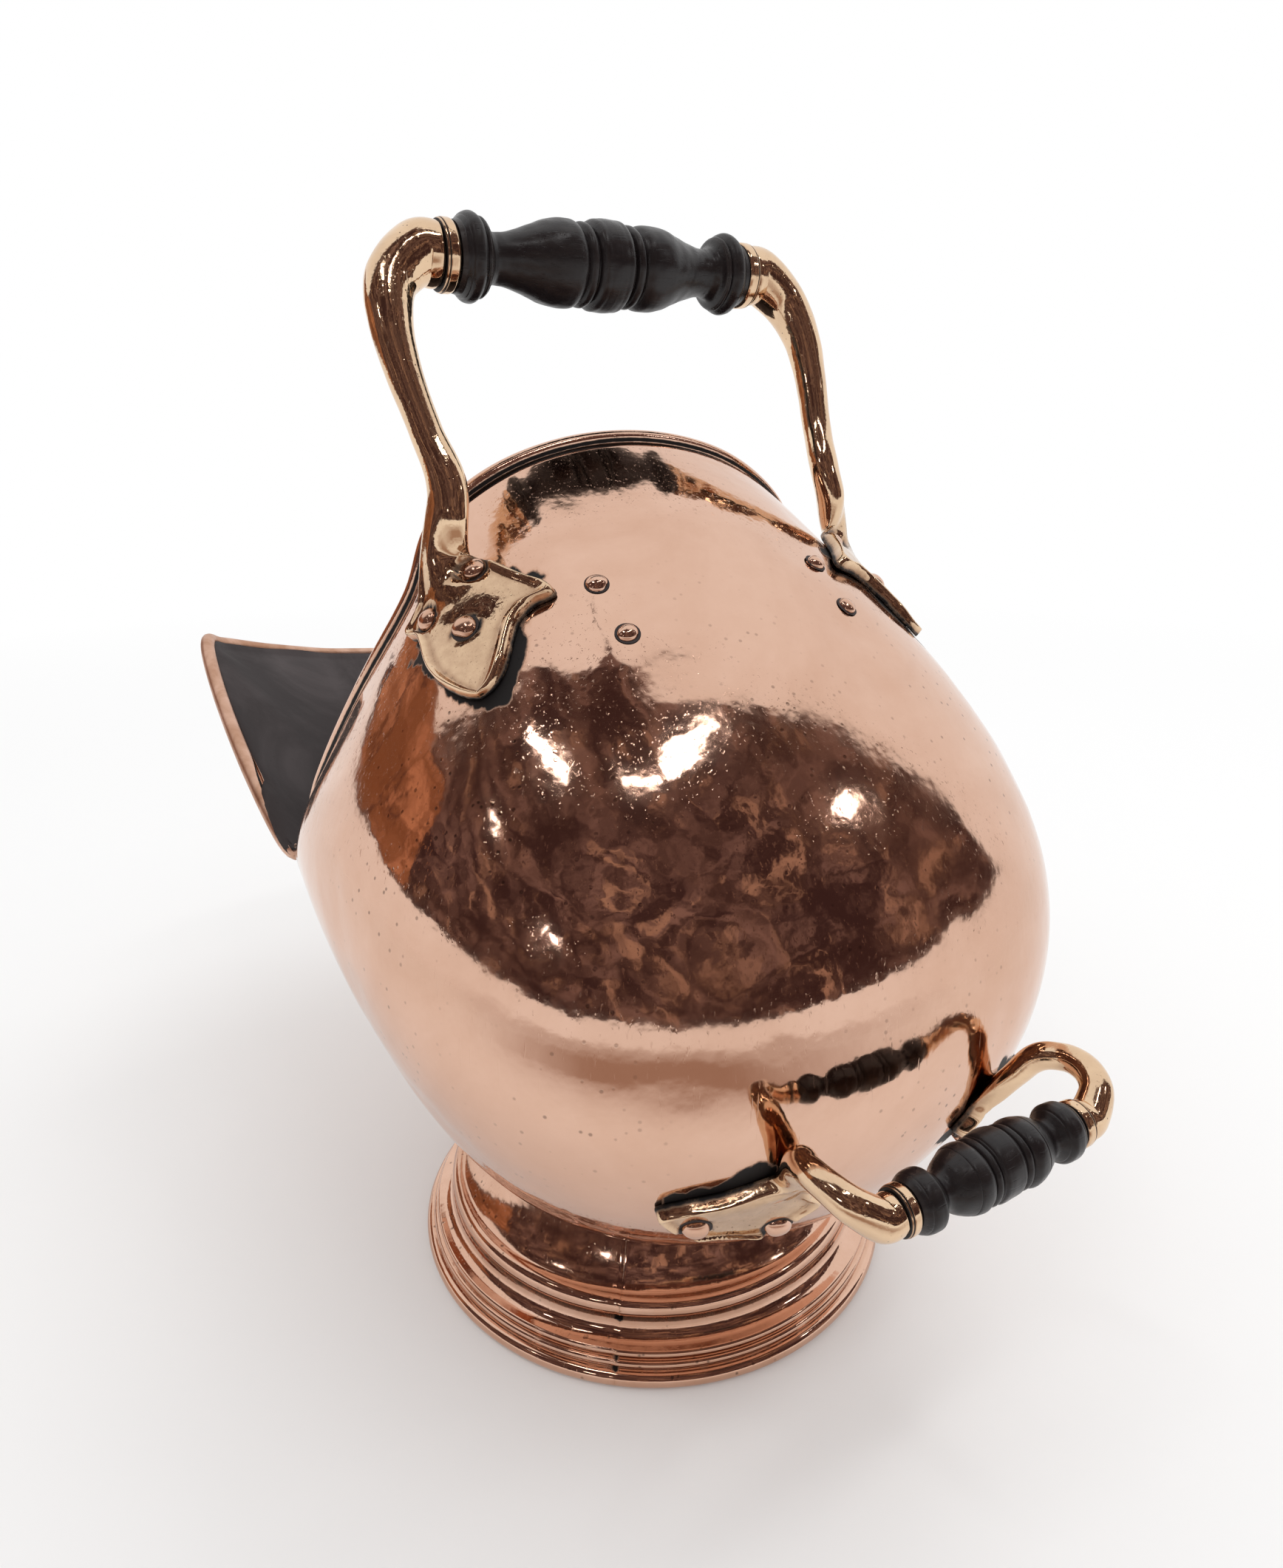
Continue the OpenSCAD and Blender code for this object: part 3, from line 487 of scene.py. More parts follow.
def copper_finish(name, warm=1.0, rough=1.0, streaked=0.3):
    """Polished copper: tarnish clouds and streaks in the colour, pits, hairlines in three
    directions, and grime with painted shade where the piece is marked for them."""
    kit = finishes()
    f = Finish(name)
    clouds = f.spread(f.noise(14, 5, 0.6, 0.8), 0.42, 0.72)
    fine = f.spread(f.noise(90, 4, 0.65), 0.35, 0.75)
    tone = f.blend(f.times(clouds, 0.42 * warm), kit.copper, kit.copper_shade)
    tone = f.blend(f.times(fine, 0.16 * warm), tone, kit.copper_shade)
    lines = f.most(
        f.hairlines(900, (0.3, 0.9, 0.2), 0.66, 0.74),
        f.hairlines(700, (1.2, 0.2, 0.9), 0.68, 0.75),
        f.hairlines(800, (0.1, 1.5, 2.1), 0.68, 0.76),
    )
    pits = f.times(f.spread(f.cells(210), 0.16, 0.08), f.spread(f.noise(9, 2), 0.42, 0.58))
    soil = f.ragged("soil", 160, 0.5)
    # Near black grime and painted shade where the mark is strongest; its outer band is a worn copper stain
    grime_and_shade = f.spread(soil, 0.62, 0.86)
    tone = f.blend(f.spread(soil, 0.38, 0.75, 0.0, 0.6), tone, kit.copper_shade)
    tone = f.blend(f.times(pits, 0.55), tone, kit.grime_and_shade)
    tone = f.blend(grime_and_shade, tone, kit.grime_and_shade)
    dull = f.spread(clouds, 0, 1, kit.polish * rough, (kit.polish + 0.07) * rough)
    dull = f.plus(f.plus(dull, f.times(lines, 0.16 * kit.wear)), f.times(grime_and_shade, 0.5))
    f.set(base_color=tone, roughness=dull, metallic=f.spread(grime_and_shade, 0, 1, 1.0, 0.25))
    f.bump(f.noise(55, 3, 0.55), 0.0006, 0.42)
    f.bump(f.noise(330, 2, 0.5), 0.0001, streaked * kit.wear)
    f.bump(f.plus(lines, pits), -0.00004, 0.6 * kit.wear)
    return f.done()


def bead_finish(name):
    """The bead: polished outside, raw brownish copper in streaks where it is marked, and grime with painted
    shade where it folds onto the sheet.
    """
    kit = finishes()
    f = Finish(name)
    streaks = f.noise(1.0, 4, 0.6, 0.4, f.stretched((60, 60, 25)))
    raw = f.spread(f.plus(f.mark("raw"), f.times(streaks, 0.4)), 0.55, 0.8)
    worn = f.blend(f.spread(streaks, 0.35, 0.65), kit.raw_copper, kit.copper)
    clouds = f.spread(f.noise(30, 4, 0.6), 0.4, 0.7)
    tone = f.blend(raw, f.blend(f.times(clouds, 0.45), kit.copper, kit.copper_shade), worn)
    # Near black grime and painted shade where the bead meets the sheet
    grime_and_shade = f.spread(f.ragged("soil", 260, 0.4), 0.6, 0.85)
    tone = f.blend(grime_and_shade, tone, kit.grime_and_shade)
    dull = f.plus(f.spread(raw, 0, 1, kit.polish + 0.05, 0.42), f.times(grime_and_shade, 0.4))
    f.set(base_color=tone, roughness=dull, metallic=f.spread(grime_and_shade, 0, 1, 1.0, 0.3))
    f.bump(f.noise(140, 4, 0.6), 0.0004, 0.35)
    f.bump(f.hairlines(1200, (0.2, 1.2, 0.4), 0.6, 0.8), 0.00005, 0.5)
    return f.done()


def brass_finish(name, rough=1.0):
    """Cast brass, polished by hand: pale gold, browner in marked hollows, near black with grime and painted
    shade at its edges, at the ferrule and round the rivets, and with file lines.
    """
    kit = finishes()
    f = Finish(name)
    clouds = f.spread(f.noise(60, 5, 0.6, 0.6), 0.4, 0.75)
    tone = f.blend(f.times(clouds, 0.3), kit.brass, kit.brass_shade)
    soil = f.ragged("soil", 240, 0.45)
    tone = f.blend(f.spread(soil, 0.35, 0.8, 0.0, 0.85), tone, kit.brass_shade)
    # Near black grime and painted shade at plate edges, ferrule ends and rivet halos
    grime_and_shade = f.spread(soil, 0.74, 0.98)
    tone = f.blend(grime_and_shade, tone, kit.grime_and_shade)
    pits = f.times(f.spread(f.cells(420), 0.15, 0.06), f.spread(f.noise(45, 2), 0.5, 0.6))
    tone = f.blend(f.times(pits, 0.7), tone, kit.grime_and_shade)
    lines = f.hairlines(1300, (0.5, 0.3, 0.2), 0.62, 0.75)
    dull = f.spread(clouds, 0, 1, kit.polish * rough, (kit.polish + 0.1) * rough)
    dull = f.plus(dull, f.times(f.plus(lines, f.times(grime_and_shade, 3.0)), 0.14))
    f.set(base_color=tone, roughness=dull, metallic=f.spread(grime_and_shade, 0, 1, 1.0, 0.2))
    f.bump(f.noise(130, 3, 0.55), 0.0005, 0.35)
    f.bump(f.noise(600, 2, 0.5), 0.00008, 0.25)
    f.bump(f.plus(pits, f.times(lines, 0.4)), -0.00006, 0.7)
    return f.done()


def wood_finish(name):
    """Ebonised wood: lengthwise grain, rubbed browner on its ridges, dents and a thin wax."""
    kit = finishes()
    f = Finish(name)
    grain = f.noise(1.0, 6, 0.65, 0.6, f.stretched((420, 30, 420)))
    pores = f.spread(f.noise(1.0, 2, 0.6, place=f.stretched((1500, 90, 1500))), 0.6, 0.75)
    rubbed = f.ragged("wear", 70, 0.7, 0.65)
    tone = f.blend(f.spread(grain, 0.4, 0.7, 0, 0.45), kit.wood, kit.wood_worn)
    tone = f.blend(f.spread(rubbed, 0.75, 1.35, 0.0, 0.8), tone, kit.wood_worn)
    tone = f.blend(f.times(pores, 0.6), tone, kit.grime_and_shade)
    dull = f.spread(f.noise(50, 4, 0.6), 0.3, 0.7, 0.22, 0.42)
    f.set(base_color=tone, roughness=dull, specular_ior_level=0.4)
    f.bump(f.noise(110, 3, 0.5), 0.0006, 0.35)
    f.bump(grain, 0.00012, 0.4)
    f.bump(pores, -0.00008, 0.6)
    return f.done()


def soot_finish(name):
    """The inside: a dark matt coating, smudged paler by coal and hands."""
    kit = finishes()
    f = Finish(name)
    smudge = f.noise(1.0, 5, 0.6, 1.2, f.stretched((9, 16, 12), (0.2, 0.5, 0.3)))
    dust = f.spread(f.noise(420, 3, 0.7), 0.62, 0.74)
    pale = tuple(c * 1.9 for c in kit.soot)
    tone = f.blend(f.spread(smudge, 0.42, 0.72), kit.soot, pale)
    tone = f.blend(f.times(dust, 0.25), tone, kit.grime_and_shade)
    dull = f.spread(smudge, 0.3, 0.7, 0.75, 0.55)
    f.set(base_color=tone, roughness=dull, specular_ior_level=0.2)
    f.bump(f.noise(240, 4, 0.6), 0.0003, 0.3)
    f.bump(f.noise(25, 2, 0.5), 0.002, 0.2)
    return f.done()


def iron_finish(name):
    """Wrought iron: grey-brown scale with rust in spots."""
    kit = finishes()
    f = Finish(name)
    scale = f.noise(120, 5, 0.65)
    rust = f.spread(f.noise(60, 5, 0.7), 0.55, 0.72)
    tone = f.blend(f.spread(scale, 0.35, 0.65), tuple(c * 0.6 for c in kit.iron), kit.iron)
    tone = f.blend(rust, tone, (0.13, 0.05, 0.025))
    f.set(base_color=tone, roughness=f.spread(rust, 0, 1, 0.5, 0.85))
    f.set(metallic=f.spread(rust, 0, 1, 0.9, 0.1))
    f.bump(scale, 0.0002, 0.5)
    return f.done()


def braze_finish(name):
    """Braze between body and foot: orange copper with bright beads and black flux."""
    kit = finishes()
    f = Finish(name)
    specks = f.spread(f.noise(300, 4, 0.7), 0.52, 0.62)
    bright = f.spread(f.noise(200, 3, 0.6), 0.5, 0.7)
    tone = f.blend(bright, kit.raw_copper, (0.86, 0.6, 0.4))
    tone = f.blend(specks, tone, kit.grime_and_shade)
    f.set(base_color=tone, roughness=f.spread(specks, 0, 1, 0.25, 0.7))
    f.set(metallic=f.spread(specks, 0, 1, 1.0, 0.2))
    f.bump(f.noise(420, 4, 0.6), 0.0004, 0.6)
    return f.done()


FINISHES = {
    "hammered_copper": (copper_finish,),
    "spun_copper": (copper_finish, 2.0, 1.1, 0.15),
    "rivet_copper": (copper_finish, 1.6, 1.8, 0.6),
    "copper_bead": (bead_finish,),
    "cast_brass": (brass_finish,),
    "ferrule_brass": (brass_finish, 1.2),
    "blackened_wood": (wood_finish,),
    "soot_coating": (soot_finish,),
    "wrought_iron": (iron_finish,),
    "braze": (braze_finish,),
}


def finish_of(name):
    """The material of that name, made once."""
    maker, *values = FINISHES[name]
    return bpy.data.materials.get(name) or maker(name, *values)


# ---- handle plates as places on the body ------------------------------------

# The plates' middles on the left: a compass angle and a share of the way up
TOP_PLATE = (128.7, 0.926)
REAR_PLATE = (156.5, 0.432)
# The grips' middles, the rivets as (side, down) from a plate's middle, and the places of
# the two rivets behind each carrying plate
TOP_AXIS = np.array([36.0, 0, 389.0])
REAR_AXIS = np.array([-178.981, 0, 146.0])
TOP_RIVETS = ((8.5, -12.0), (-12.5, -6.5), (0.0, 8.5))
REAR_RIVETS = ((-13.0, 10.5), (13.0, 11.0))
STAY_RIVETS = ((156.0, 0.913), (157.0, 0.881))
# Half widths of the plates at distances down from their middles
TOP_WIDTHS = (
    [-40, -34, -28, -22.4, -18.2, -14, -10.4, -6.9, -2.8, -0.6, 2.2, 6.2, 10.2, 15, 20,
     26, 31, 35, 37.3, 38.4],
    [5.6, 6.2, 7.4, 9.4, 11.6, 14.2, 17.4, 21, 25.6, 25, 20.4, 18, 16.8, 15.4, 13.6, 11,
     8.2, 5.2, 2.6, 0.4],
)
REAR_WIDTHS = (
    [-22, -16, -11.3, -9, -6.75, -4.6, -2.1, 1, 2.6, 5, 6.95, 10.5, 14.05, 16.2, 17, 17.4],
    [4.6, 5.2, 7.4, 9.4, 11.6, 14.4, 19.5, 24, 24.6, 22.6, 21.2, 18.4, 15, 11, 6.5, 1],
)


def plate_frame(at):
    """At a plate's middle: sideways towards the back, down along the outside, and out."""
    around, up = slopes(np.array(at[0]), np.array(at[1]))
    across = unit(around)
    out = unit(np.cross(around, up))
    return around, up, across, -np.cross(out, across), out


def plate_place(at, side, down):
    """The place on the body reached by going side and down, in millimetres, from a
    plate's middle: side * across + down * below solved for the two slopes there."""
    around, up, across, below, _ = plate_frame(at)
    step = np.asarray(side)[..., None] * across + np.asarray(down)[..., None] * below
    g11, g12, g22 = around @ around, around @ up, up @ up
    det = g11 * g22 - g12 * g12
    first, second = step @ around, step @ up
    return (
        at[0] + (first * g22 - second * g12) / det,
        at[1] + (second * g11 - first * g12) / det,
    )


def on_plate(at, side, down, height):
    return above(*plate_place(at, side, down), height)


# ---- the copper body ----------------------------------------------------------


def body_soil_and_shade(points):
    """Where grime and painted shade darken the body: a ragged rim round each plate, grime with painted shade
    and reflection of the gap under it, wider above the tipping handle's plates, and a band along the foot's
    joint. The distance from a plate is taken from its half width at that distance down, and past its two
    ends."""
    half = np.concatenate([points[..., :1], np.abs(points[..., 1:2]), points[..., 2:]], -1)
    # Darker just above the foot's joint
    soil = (1 - ease(points[..., 2], 52, 58)) * 0.5
    rough = ripples(points, 16, 5) + 0.6 * ripples(points, 6, 6)
    for at, widths, top, over in ((TOP_PLATE, TOP_WIDTHS, -12, 1), (REAR_PLATE, REAR_WIDTHS, -5, 11)):
        *_, across, below, out = plate_frame(at)
        away = half - skin(*at)
        s, d = away @ across, away @ below
        wide = table(np.clip(d, top, widths[0][-2]), *widths)
        past = np.maximum(np.maximum(d - widths[0][-1], top - d - over * ease(14 - np.abs(s), 0, 14)), 0)
        far = np.hypot(np.maximum(np.abs(s) - wide, 0), past) + rough
        near = np.abs(away @ out) < 30
        # A ragged rim of grime and painted shade of the gap round the plate
        soil = np.maximum(soil, near * (1 - ease(far, 0.3, 4.2)) * 0.85)
    return soil


def body_rows(rise):
    """Shares of the way up for the body's rows, even along the mean meridian, and closer
    in the last 18 mm under the bead, where they end 2.15 mm short of the edge."""
    v = np.linspace(0, 1, 401)
    line = skin(np.arange(0, 360, 30.0)[:, None], v[None, :])
    steps = np.linalg.norm(np.diff(line, axis=1), axis=-1).mean(0)
    far = np.concatenate([[0], np.cumsum(steps)]) / steps.sum()
    even = np.interp(np.linspace(0, 1, 141), far, v)[:, None]
    end = 1 - 2.15 / rise
    near = np.linspace(18, 0, 27)[1:, None]
    return np.concatenate([even * (end - 18 / rise), end - near / rise])


def body_dents(base, rows, gap):
    """How high the outside stands: the hammer's hollows, calmer at both ends, the crease
    under the bead and a swelling below it, with the tops pressed flat."""
    s = sizes()
    calm = ease(rows, 0.0, 0.08) * mix(0.35, 1, ease(gap, 4, 40))
    height = s["hammering"] * calm * (
        0.9 * ripples(base, 62, 1) + 0.5 * ripples(base, 27, 2) + 0.17 * ripples(base, 13, 3)
    )
    height -= s["crease"] * hump(gap, 3.8, 1.4) * (1 + 0.35 * ripples(base, 40, 4))
    height += 0.55 * hump(gap, 8.2, 2.6)
    return height - 0.12 * np.log1p(np.exp((height + 0.05) / 0.12))


def body_grid():
    """The body as one closed sheet: up the outside, over the edge and down the inside."""
    s = sizes()
    angle = np.linspace(0, 360, 420, endpoint=False)[None, :]
    rise = rim_frame(angle[0])[2][None, :]
    rows = body_rows(rise)
    base, out, gap = skin(angle, rows), skin_normal(angle, rows), (1 - rows) * rise
    outside = base + body_dents(base, rows, gap)[..., None] * out
    # Soot and painted shade in the crease under the bead
    soil = np.maximum(body_soil_and_shade(outside), 1.1 * hump(gap, 3.5, 1.9))
    # The inside needs fewer rows than the outside
    keep = np.r_[len(rows) - 1, np.arange(len(rows) - 4, 27, -5), np.arange(24, 0, -6)]
    inner = outside[keep] - s["sheet"] * out[keep]
    ring = np.radians(angle[0])
    r = s["neck_radius"] - s["sheet"]
    floor_z = np.full_like(ring, s["foot_height"] + s["sheet"])
    floor_ring = np.stack([r * np.cos(ring), r * np.sin(ring), floor_z], -1)[None]
    grid = np.concatenate([outside, inner, floor_ring])
    marks = np.concatenate([soil, np.zeros((len(keep) + 1, soil.shape[1]))])
    finish = (np.arange(len(grid)) >= len(rows)).astype(int)
    return grid, finish, marks


class SCUTTLE_OT_copper_body(bpy.types.Operator):
    """Raise the hammered copper body, dark inside"""

    bl_idname = "scuttle.copper_body"
    bl_label = "Copper body"

    def execute(self, context):
        grid, finish, soil = body_grid()
        materials = ["hammered_copper", "soot_coating"]
        made = patch(grid, finish=finish, soil=soil)
        add_piece("copper_body", [made], materials, "scuttle", ["body_shell"])
        return {"FINISHED"}


def bead_patch():
    """The bead is a circle carried along the edge, a little flattened inside and cut
    back where it is folded down onto the sheet outside."""
    s = sizes()
    angle = np.linspace(0, 360, 540, endpoint=False)
    degrees = np.linspace(0, 360, 40, endpoint=False)[None, :]
    c, d = np.cos(np.radians(degrees)), np.sin(np.radians(degrees))
    ahead, out, _ = rim_frame(angle)
    middle = rim(angle) - s["sheet"] / 2 * out
    ring = ripples(middle, 30, 8)[:, None]
    radius = s["bead"] * (1 - 0.11 * hump(degrees, 148, 12)) - 0.1 - 0.04 * ring * d
    radius = (radius - 0.12 * hump(degrees, 270, 40))[..., None]
    grid = middle[:, None] + radius * (c[..., None] * ahead[:, None] + d[..., None] * out[:, None])
    lip = 1 - ease(np.minimum(angle, 360 - angle), 48, 66)[:, None]
    raw = np.clip(lip * mix(0.55, 1, 0.5 - 0.5 * d), 0, 1)
    # Grime and painted shade where the bead folds down onto the sheet outside
    return patch(grid, wrap=True, raw=raw, soil=0.95 * hump(degrees, 155, 17))


class SCUTTLE_OT_rolled_bead(bpy.types.Operator):
    """Roll the bead round the mouth's edge"""

    bl_idname = "scuttle.rolled_bead"
    bl_label = "Rolled bead"

    def execute(self, context):
        add_piece("rolled_bead", [bead_patch()], ["copper_bead"], "scuttle", ["rim_bead"])
        return {"FINISHED"}


# ---- the foot -------------------------------------------------------------------


# The lapped seam's compass angle, and the rolled edge's radius and its wire's
SEAM_ANGLE = 141.0
ROLL, ROLL_BORE = 3.1, 1.65


def moulding(r, low, high, bulge, steps=9):
    """Half an ellipse that bulges out between two heights."""
    t = np.radians(np.linspace(-90, 90, steps))
    return np.stack([r + bulge * np.cos(t), mix(low, high, 0.5 + 0.5 * np.sin(t))], 1)


def arc(r, z, radius, start, stop, steps):
    t = np.radians(np.linspace(start, stop, steps))
    return np.stack([r + radius * np.cos(t), z + radius * np.sin(t)], 1)


def foot_profile():
    """The spun foot's outline: a rolled edge, two reeds, a cove, a torus and a hollow
    neck, then back down inside at the sheet's thickness."""
    s = sizes()
    big, top = s["foot_radius"], s["foot_height"] - 0.05
    ring_r, ring_z, neck = big - 14, 28.0, s["neck_radius"] - 1
    t = np.radians(np.linspace(12, 90, 9))
    cove = np.stack([mix(big - 6.4, ring_r + 1, np.sin(t)), mix(13, 19.2, 1 - np.cos(t))], 1)
    low, high = np.array([ring_r - 3, ring_z]), np.array([neck, 48.4])
    bend = np.array([mix(ring_r - 3, neck, 0.45), mix(ring_z, 52, 0.17)])
    t = np.linspace(0.02, 1, 22)[:, None]
    hollow = (1 - t) ** 2 * low + 2 * t * (1 - t) * bend + t * t * high
    outer = np.concatenate(
        [
            moulding(big - 4.4, 6.6, 9.6, 1.2),
            moulding(big - 6, 10, 13, 1.2),
            cove,
            moulding(ring_r - 2, 19.6, ring_z, 4, 17),
            hollow,
            [[neck, top]],
        ]
    )
    way = unit(np.gradient(outer, axis=0))
    inner = (outer + 1.5 * np.stack([-way[:, 1], way[:, 0]], 1))[-2:1:-1]
    edge = big - ROLL
    return np.concatenate(
        [
            [[edge - 2, 0]],
            arc(edge, ROLL, ROLL, -90, 90, 19),
            outer,
            [[neck - 8, top], [neck - 8, top - 1.5], [neck - 1.5, top - 1.5]],
            inner,
            arc(edge, ROLL, ROLL_BORE, 90, -90, 9),
            [[edge - 2, ROLL - ROLL_BORE]],
        ]
    )


def foot_grid():
    """The profile carried round the foot, with a lapped seam that steps in and eases
    out again over a quarter turn, and a slight unevenness of the spinning."""
    s = sizes()
    profile = foot_profile()
    t = np.linspace(0, 2 * np.pi, 400, endpoint=False)[None, :]
    past = np.mod(math.radians(SEAM_ANGLE) - t, 2 * np.pi)
    step = s["seam"] * np.exp(-past / 0.5) * ease(profile[:, 1], 1, 8)[:, None]
    radius = profile[:, 0][:, None] - step
    z = profile[:, 1][:, None] * np.ones_like(t)
    grid = np.stack([radius * np.cos(t), radius * np.sin(t), z], -1)
    uneven = 0.06 * ripples(grid, 45, 11) * ease(z, 7, 30) * (radius > 60)
    out = np.stack([np.cos(t), np.sin(t), 0 * t], -1)
    # Dark along the lapped seam, in the grooves under the first reed, between the reeds and under the torus,
    # and up the neck to the body
    seam_line = hump(np.minimum(past, 2 * np.pi - past) * 90, 0, 0.8)
    soil = 0.6 * seam_line + 0.55 * hump(z, 19.4, 0.5) + 0.4 * hump(z, 9.8, 0.35)
    soil = soil + 0.5 * hump(z, 6.4, 0.35) + 0.35 * ease(z, 47, 51)
    return grid - np.abs(uneven)[..., None] * out, soil


def braze_grid():
    """A ragged fillet round the joint: a small oval section whose size wanders."""
    t = np.linspace(0, 2 * np.pi, 420, endpoint=False)[None, :, None]
    turn = np.radians(np.linspace(0, 360, 14, endpoint=False))[:, None, None]
    r = sizes()["neck_radius"] + 0.25
    ring = np.concatenate([np.cos(t) * r, np.sin(t) * r, np.full_like(t, 50.2)], -1)
    size = 0.75 + 0.3 * ripples(ring, 9, 21)[..., None] + 0.25 * ripples(ring, 4, 22)[..., None]
    size = np.clip(size, 0.15, 1.45)
    radial = r - 0.5 + (0.95 * size) * np.cos(turn)
    z = 50.3 + 0.35 * ripples(ring, 16, 23)[..., None] + size * 1.0 * np.sin(turn)
    z = np.minimum(z, 51.8)
    return np.concatenate([radial * np.cos(t), radial * np.sin(t), z * np.ones_like(t)], -1)


class SCUTTLE_OT_moulded_foot(bpy.types.Operator):
    """Spin the moulded foot and braze it to the body"""

    bl_idname = "scuttle.moulded_foot"
    bl_label = "Moulded foot"

    def execute(self, context):
        grid, soil = foot_grid()
        foot, line = patch(grid, wrap=True, soil=soil), patch(braze_grid(), wrap=True)
        add_piece("spun_foot", [foot], ["spun_copper"], "scuttle", ["foot_base"], 50)
        add_piece("braze_line", [line], ["braze"], "scuttle", ["braze_ring"])
        return {"FINISHED"}


# ---- cast arms with their plates ----------------------------------------------


def casting_rows(blend, rows, tip):
    """For each row: its place on the path, its distance down the plate, and how far it
    has turned from arm into plate, from 0 to 1."""
    first, last, from_down, to_down = blend
    t = np.linspace(0, 1, rows[1])[1:]
    slowing = np.sin(np.linspace(0, np.pi / 2, rows[2]))[1:]
    place = [np.linspace(0, first, rows[0]), mix(first, last, t), np.full(len(slowing), last)]
    down = [np.full(rows[0], from_down), mix(from_down, to_down, t), mix(to_down, tip, slowing)]
    amount = [np.zeros(rows[0]), t, np.ones(len(slowing))]
    return [np.concatenate(parts) for parts in (place, down, amount)]


def arm_tube(path, radii, place, flare, spread_out, out, turn):
    """An ellipse across a smooth path in each row, widened to the flare as it spreads out.
    Its radius is drawn in a little at the ferrule."""
    on, back = np.minimum(place + 0.01, len(path) - 1), np.maximum(place - 0.01, 0)
    along = unit(spline(path, on) - spline(path, back))
    thick = unit(out - dot(along, out) * along)
    r = spline(radii, place) * (1 - 0.07 * np.exp(-place / 0.05))[:, None]
    r[:, 1] = mix(r[:, 1], np.maximum(r[:, 1], flare), spread_out)
    return (
        spline(path, place)[:, None]
        + (r[:, 1:2] * np.cos(turn))[..., None] * np.cross(thick, along)[:, None]
        + (r[:, 0:1] * np.sin(turn))[..., None] * thick[:, None]
    )


def plate_rows(at, down, turn, widths, lean, skew, ridge, spots, depth):
    """Rows across the body's outside, w(d) to each side: underneath they lie on the copper,
    and above they are dish + border at the edge + ridge from the arm, sunk flat round the
    rivets. The tables give the half width, a row's shift and slant, and the arm's rise."""
    c = np.cos(turn)
    across = np.sign(c) * np.abs(c) ** 0.62
    w = table(down, *widths)[:, None]
    side = table(down, *lean)[:, None] + w * across
    skewed = down[:, None] + table(down, *skew)[:, None] * side
    edge = w * (1 - np.abs(across))
    dish = depth + sizes()["border"] * hump(edge, 2.3, 1.25) + 1.5 * ease(w, 5, 12) * across**2
    dish = dish + table(down, *ridge)[:, None] * hump(w * across, 0, np.maximum(6.2, 0.62 * w))
    # Grime and painted shade at the plate's edge against the body, inside the raised border and in a halo
    # round each rivet, and a browner dish
    soil = 0.75 * hump(edge, 0, 0.9) + 0.5 * hump(edge, 4.6, 1.6) + 0.3 * ease(edge, 4, 8)
    for x, y in spots:
        near = np.hypot(side - x, skewed - y)
        dish = mix(depth + 0.5, dish, ease(near, 3.8, 6.2))
        soil = np.maximum(soil, 0.85 * hump(near, 4.6, 1.3))
    upper = mix(1.1, dish, ease(edge, 0, 1.4))
    height = np.select([np.sin(turn) > 1e-6, np.sin(turn) < -1e-6], [upper, 0.06], 0.55)
    return on_plate(at, side, skewed, height), soil


def casting(at, path, radii, blend, rows, widths, *plate):
    """An arm and its plate as one surface, whose rows are mixed between the two so that
    the arm flares out into the plate. Blend gives two places on the path and the distances
    down that go with them; rows counts the arm's, the mixed and the plate's rows."""
    turn = np.radians(np.linspace(0, 360, 72, endpoint=False))[None, :]
    place, down, amount = casting_rows(blend, rows, widths[0][-1])
    out = plate_frame(at)[4]
    flare, spread_out = 0.92 * table(down, *widths), ease(amount, 0.0, 0.9)
    arm = arm_tube(path, radii, place, flare, spread_out, out, turn)
    flat, soil = plate_rows(at, down, turn, widths, *plate)
    amount = ease(amount, 0.15, 1.0)[:, None]
    grid = mix(arm, flat, amount[..., None])
    uneven = ripples(grid, 11, 31) * (1 - hump(place, 0, 0.3))[:, None]
    grid = grid + 0.05 * uneven[..., None] * out
    # Grime and painted shade where the arm meets its ferrule
    return grid, np.maximum(soil * amount, 0.9 * np.exp(-place / 0.05)[:, None])


def top_casting():
    s = sizes()
    e = s["top_arm"]
    elbow = TOP_AXIS + [0, s["top_grip"] + 5.55, 0]
    root = on_plate(TOP_PLATE, 0.0, -17.0, e)
    end = on_plate(TOP_PLATE, 0.0, -3.8, e / 4)
    reach = np.linalg.norm(root - elbow)
    bends = [[0, 0.064, 0], [-0.032, 0.156, -0.083], [-0.101, 0.189, -0.203]]
    bends += [[-0.175, 0.184, -0.35], [-0.258, 0.156, -0.516], [-0.35, 0.134, -0.681]]
    path = np.array([elbow, *(elbow + reach * np.array(b) for b in bends), root, end])
    radii = e * np.array([[1.69, 1.69], [1.6, 1.6], [1.38, 1.38], [1.14, 1.14], [0.95, 0.95],
                          [0.86, 0.86], [0.86, 1.1], [0.72, 1.6], [0.2, 0.9]])
    ridge = ([-34, -29.7, -25.6, -21.5, -17.7, -14, -10.6, -7, 0, 8, 14, 38.4],
             [20, 17, 13.6, 10.4, 7.8, 5.8, 4.3, 3.1, 1.7, 0.5, 0.1, 0])
    lean = ([-34, -29.7, -25.6, -21.5, -17.7, -12, 2, 12, 38.4],
            [14.6, 11.3, 6.8, 2.4, 0.2, 0, 0, -2, -2.4])
    skew = ([-40, -16, -6, 4, 14, 38.4], [0, 0, 0.33, 0.33, 0.05, 0])
    return casting(TOP_PLATE, path, radii, (6.0, 7.6, -34, -9.3), (96, 60, 70), TOP_WIDTHS, lean,
                   skew, ridge, TOP_RIVETS, s["plate"])


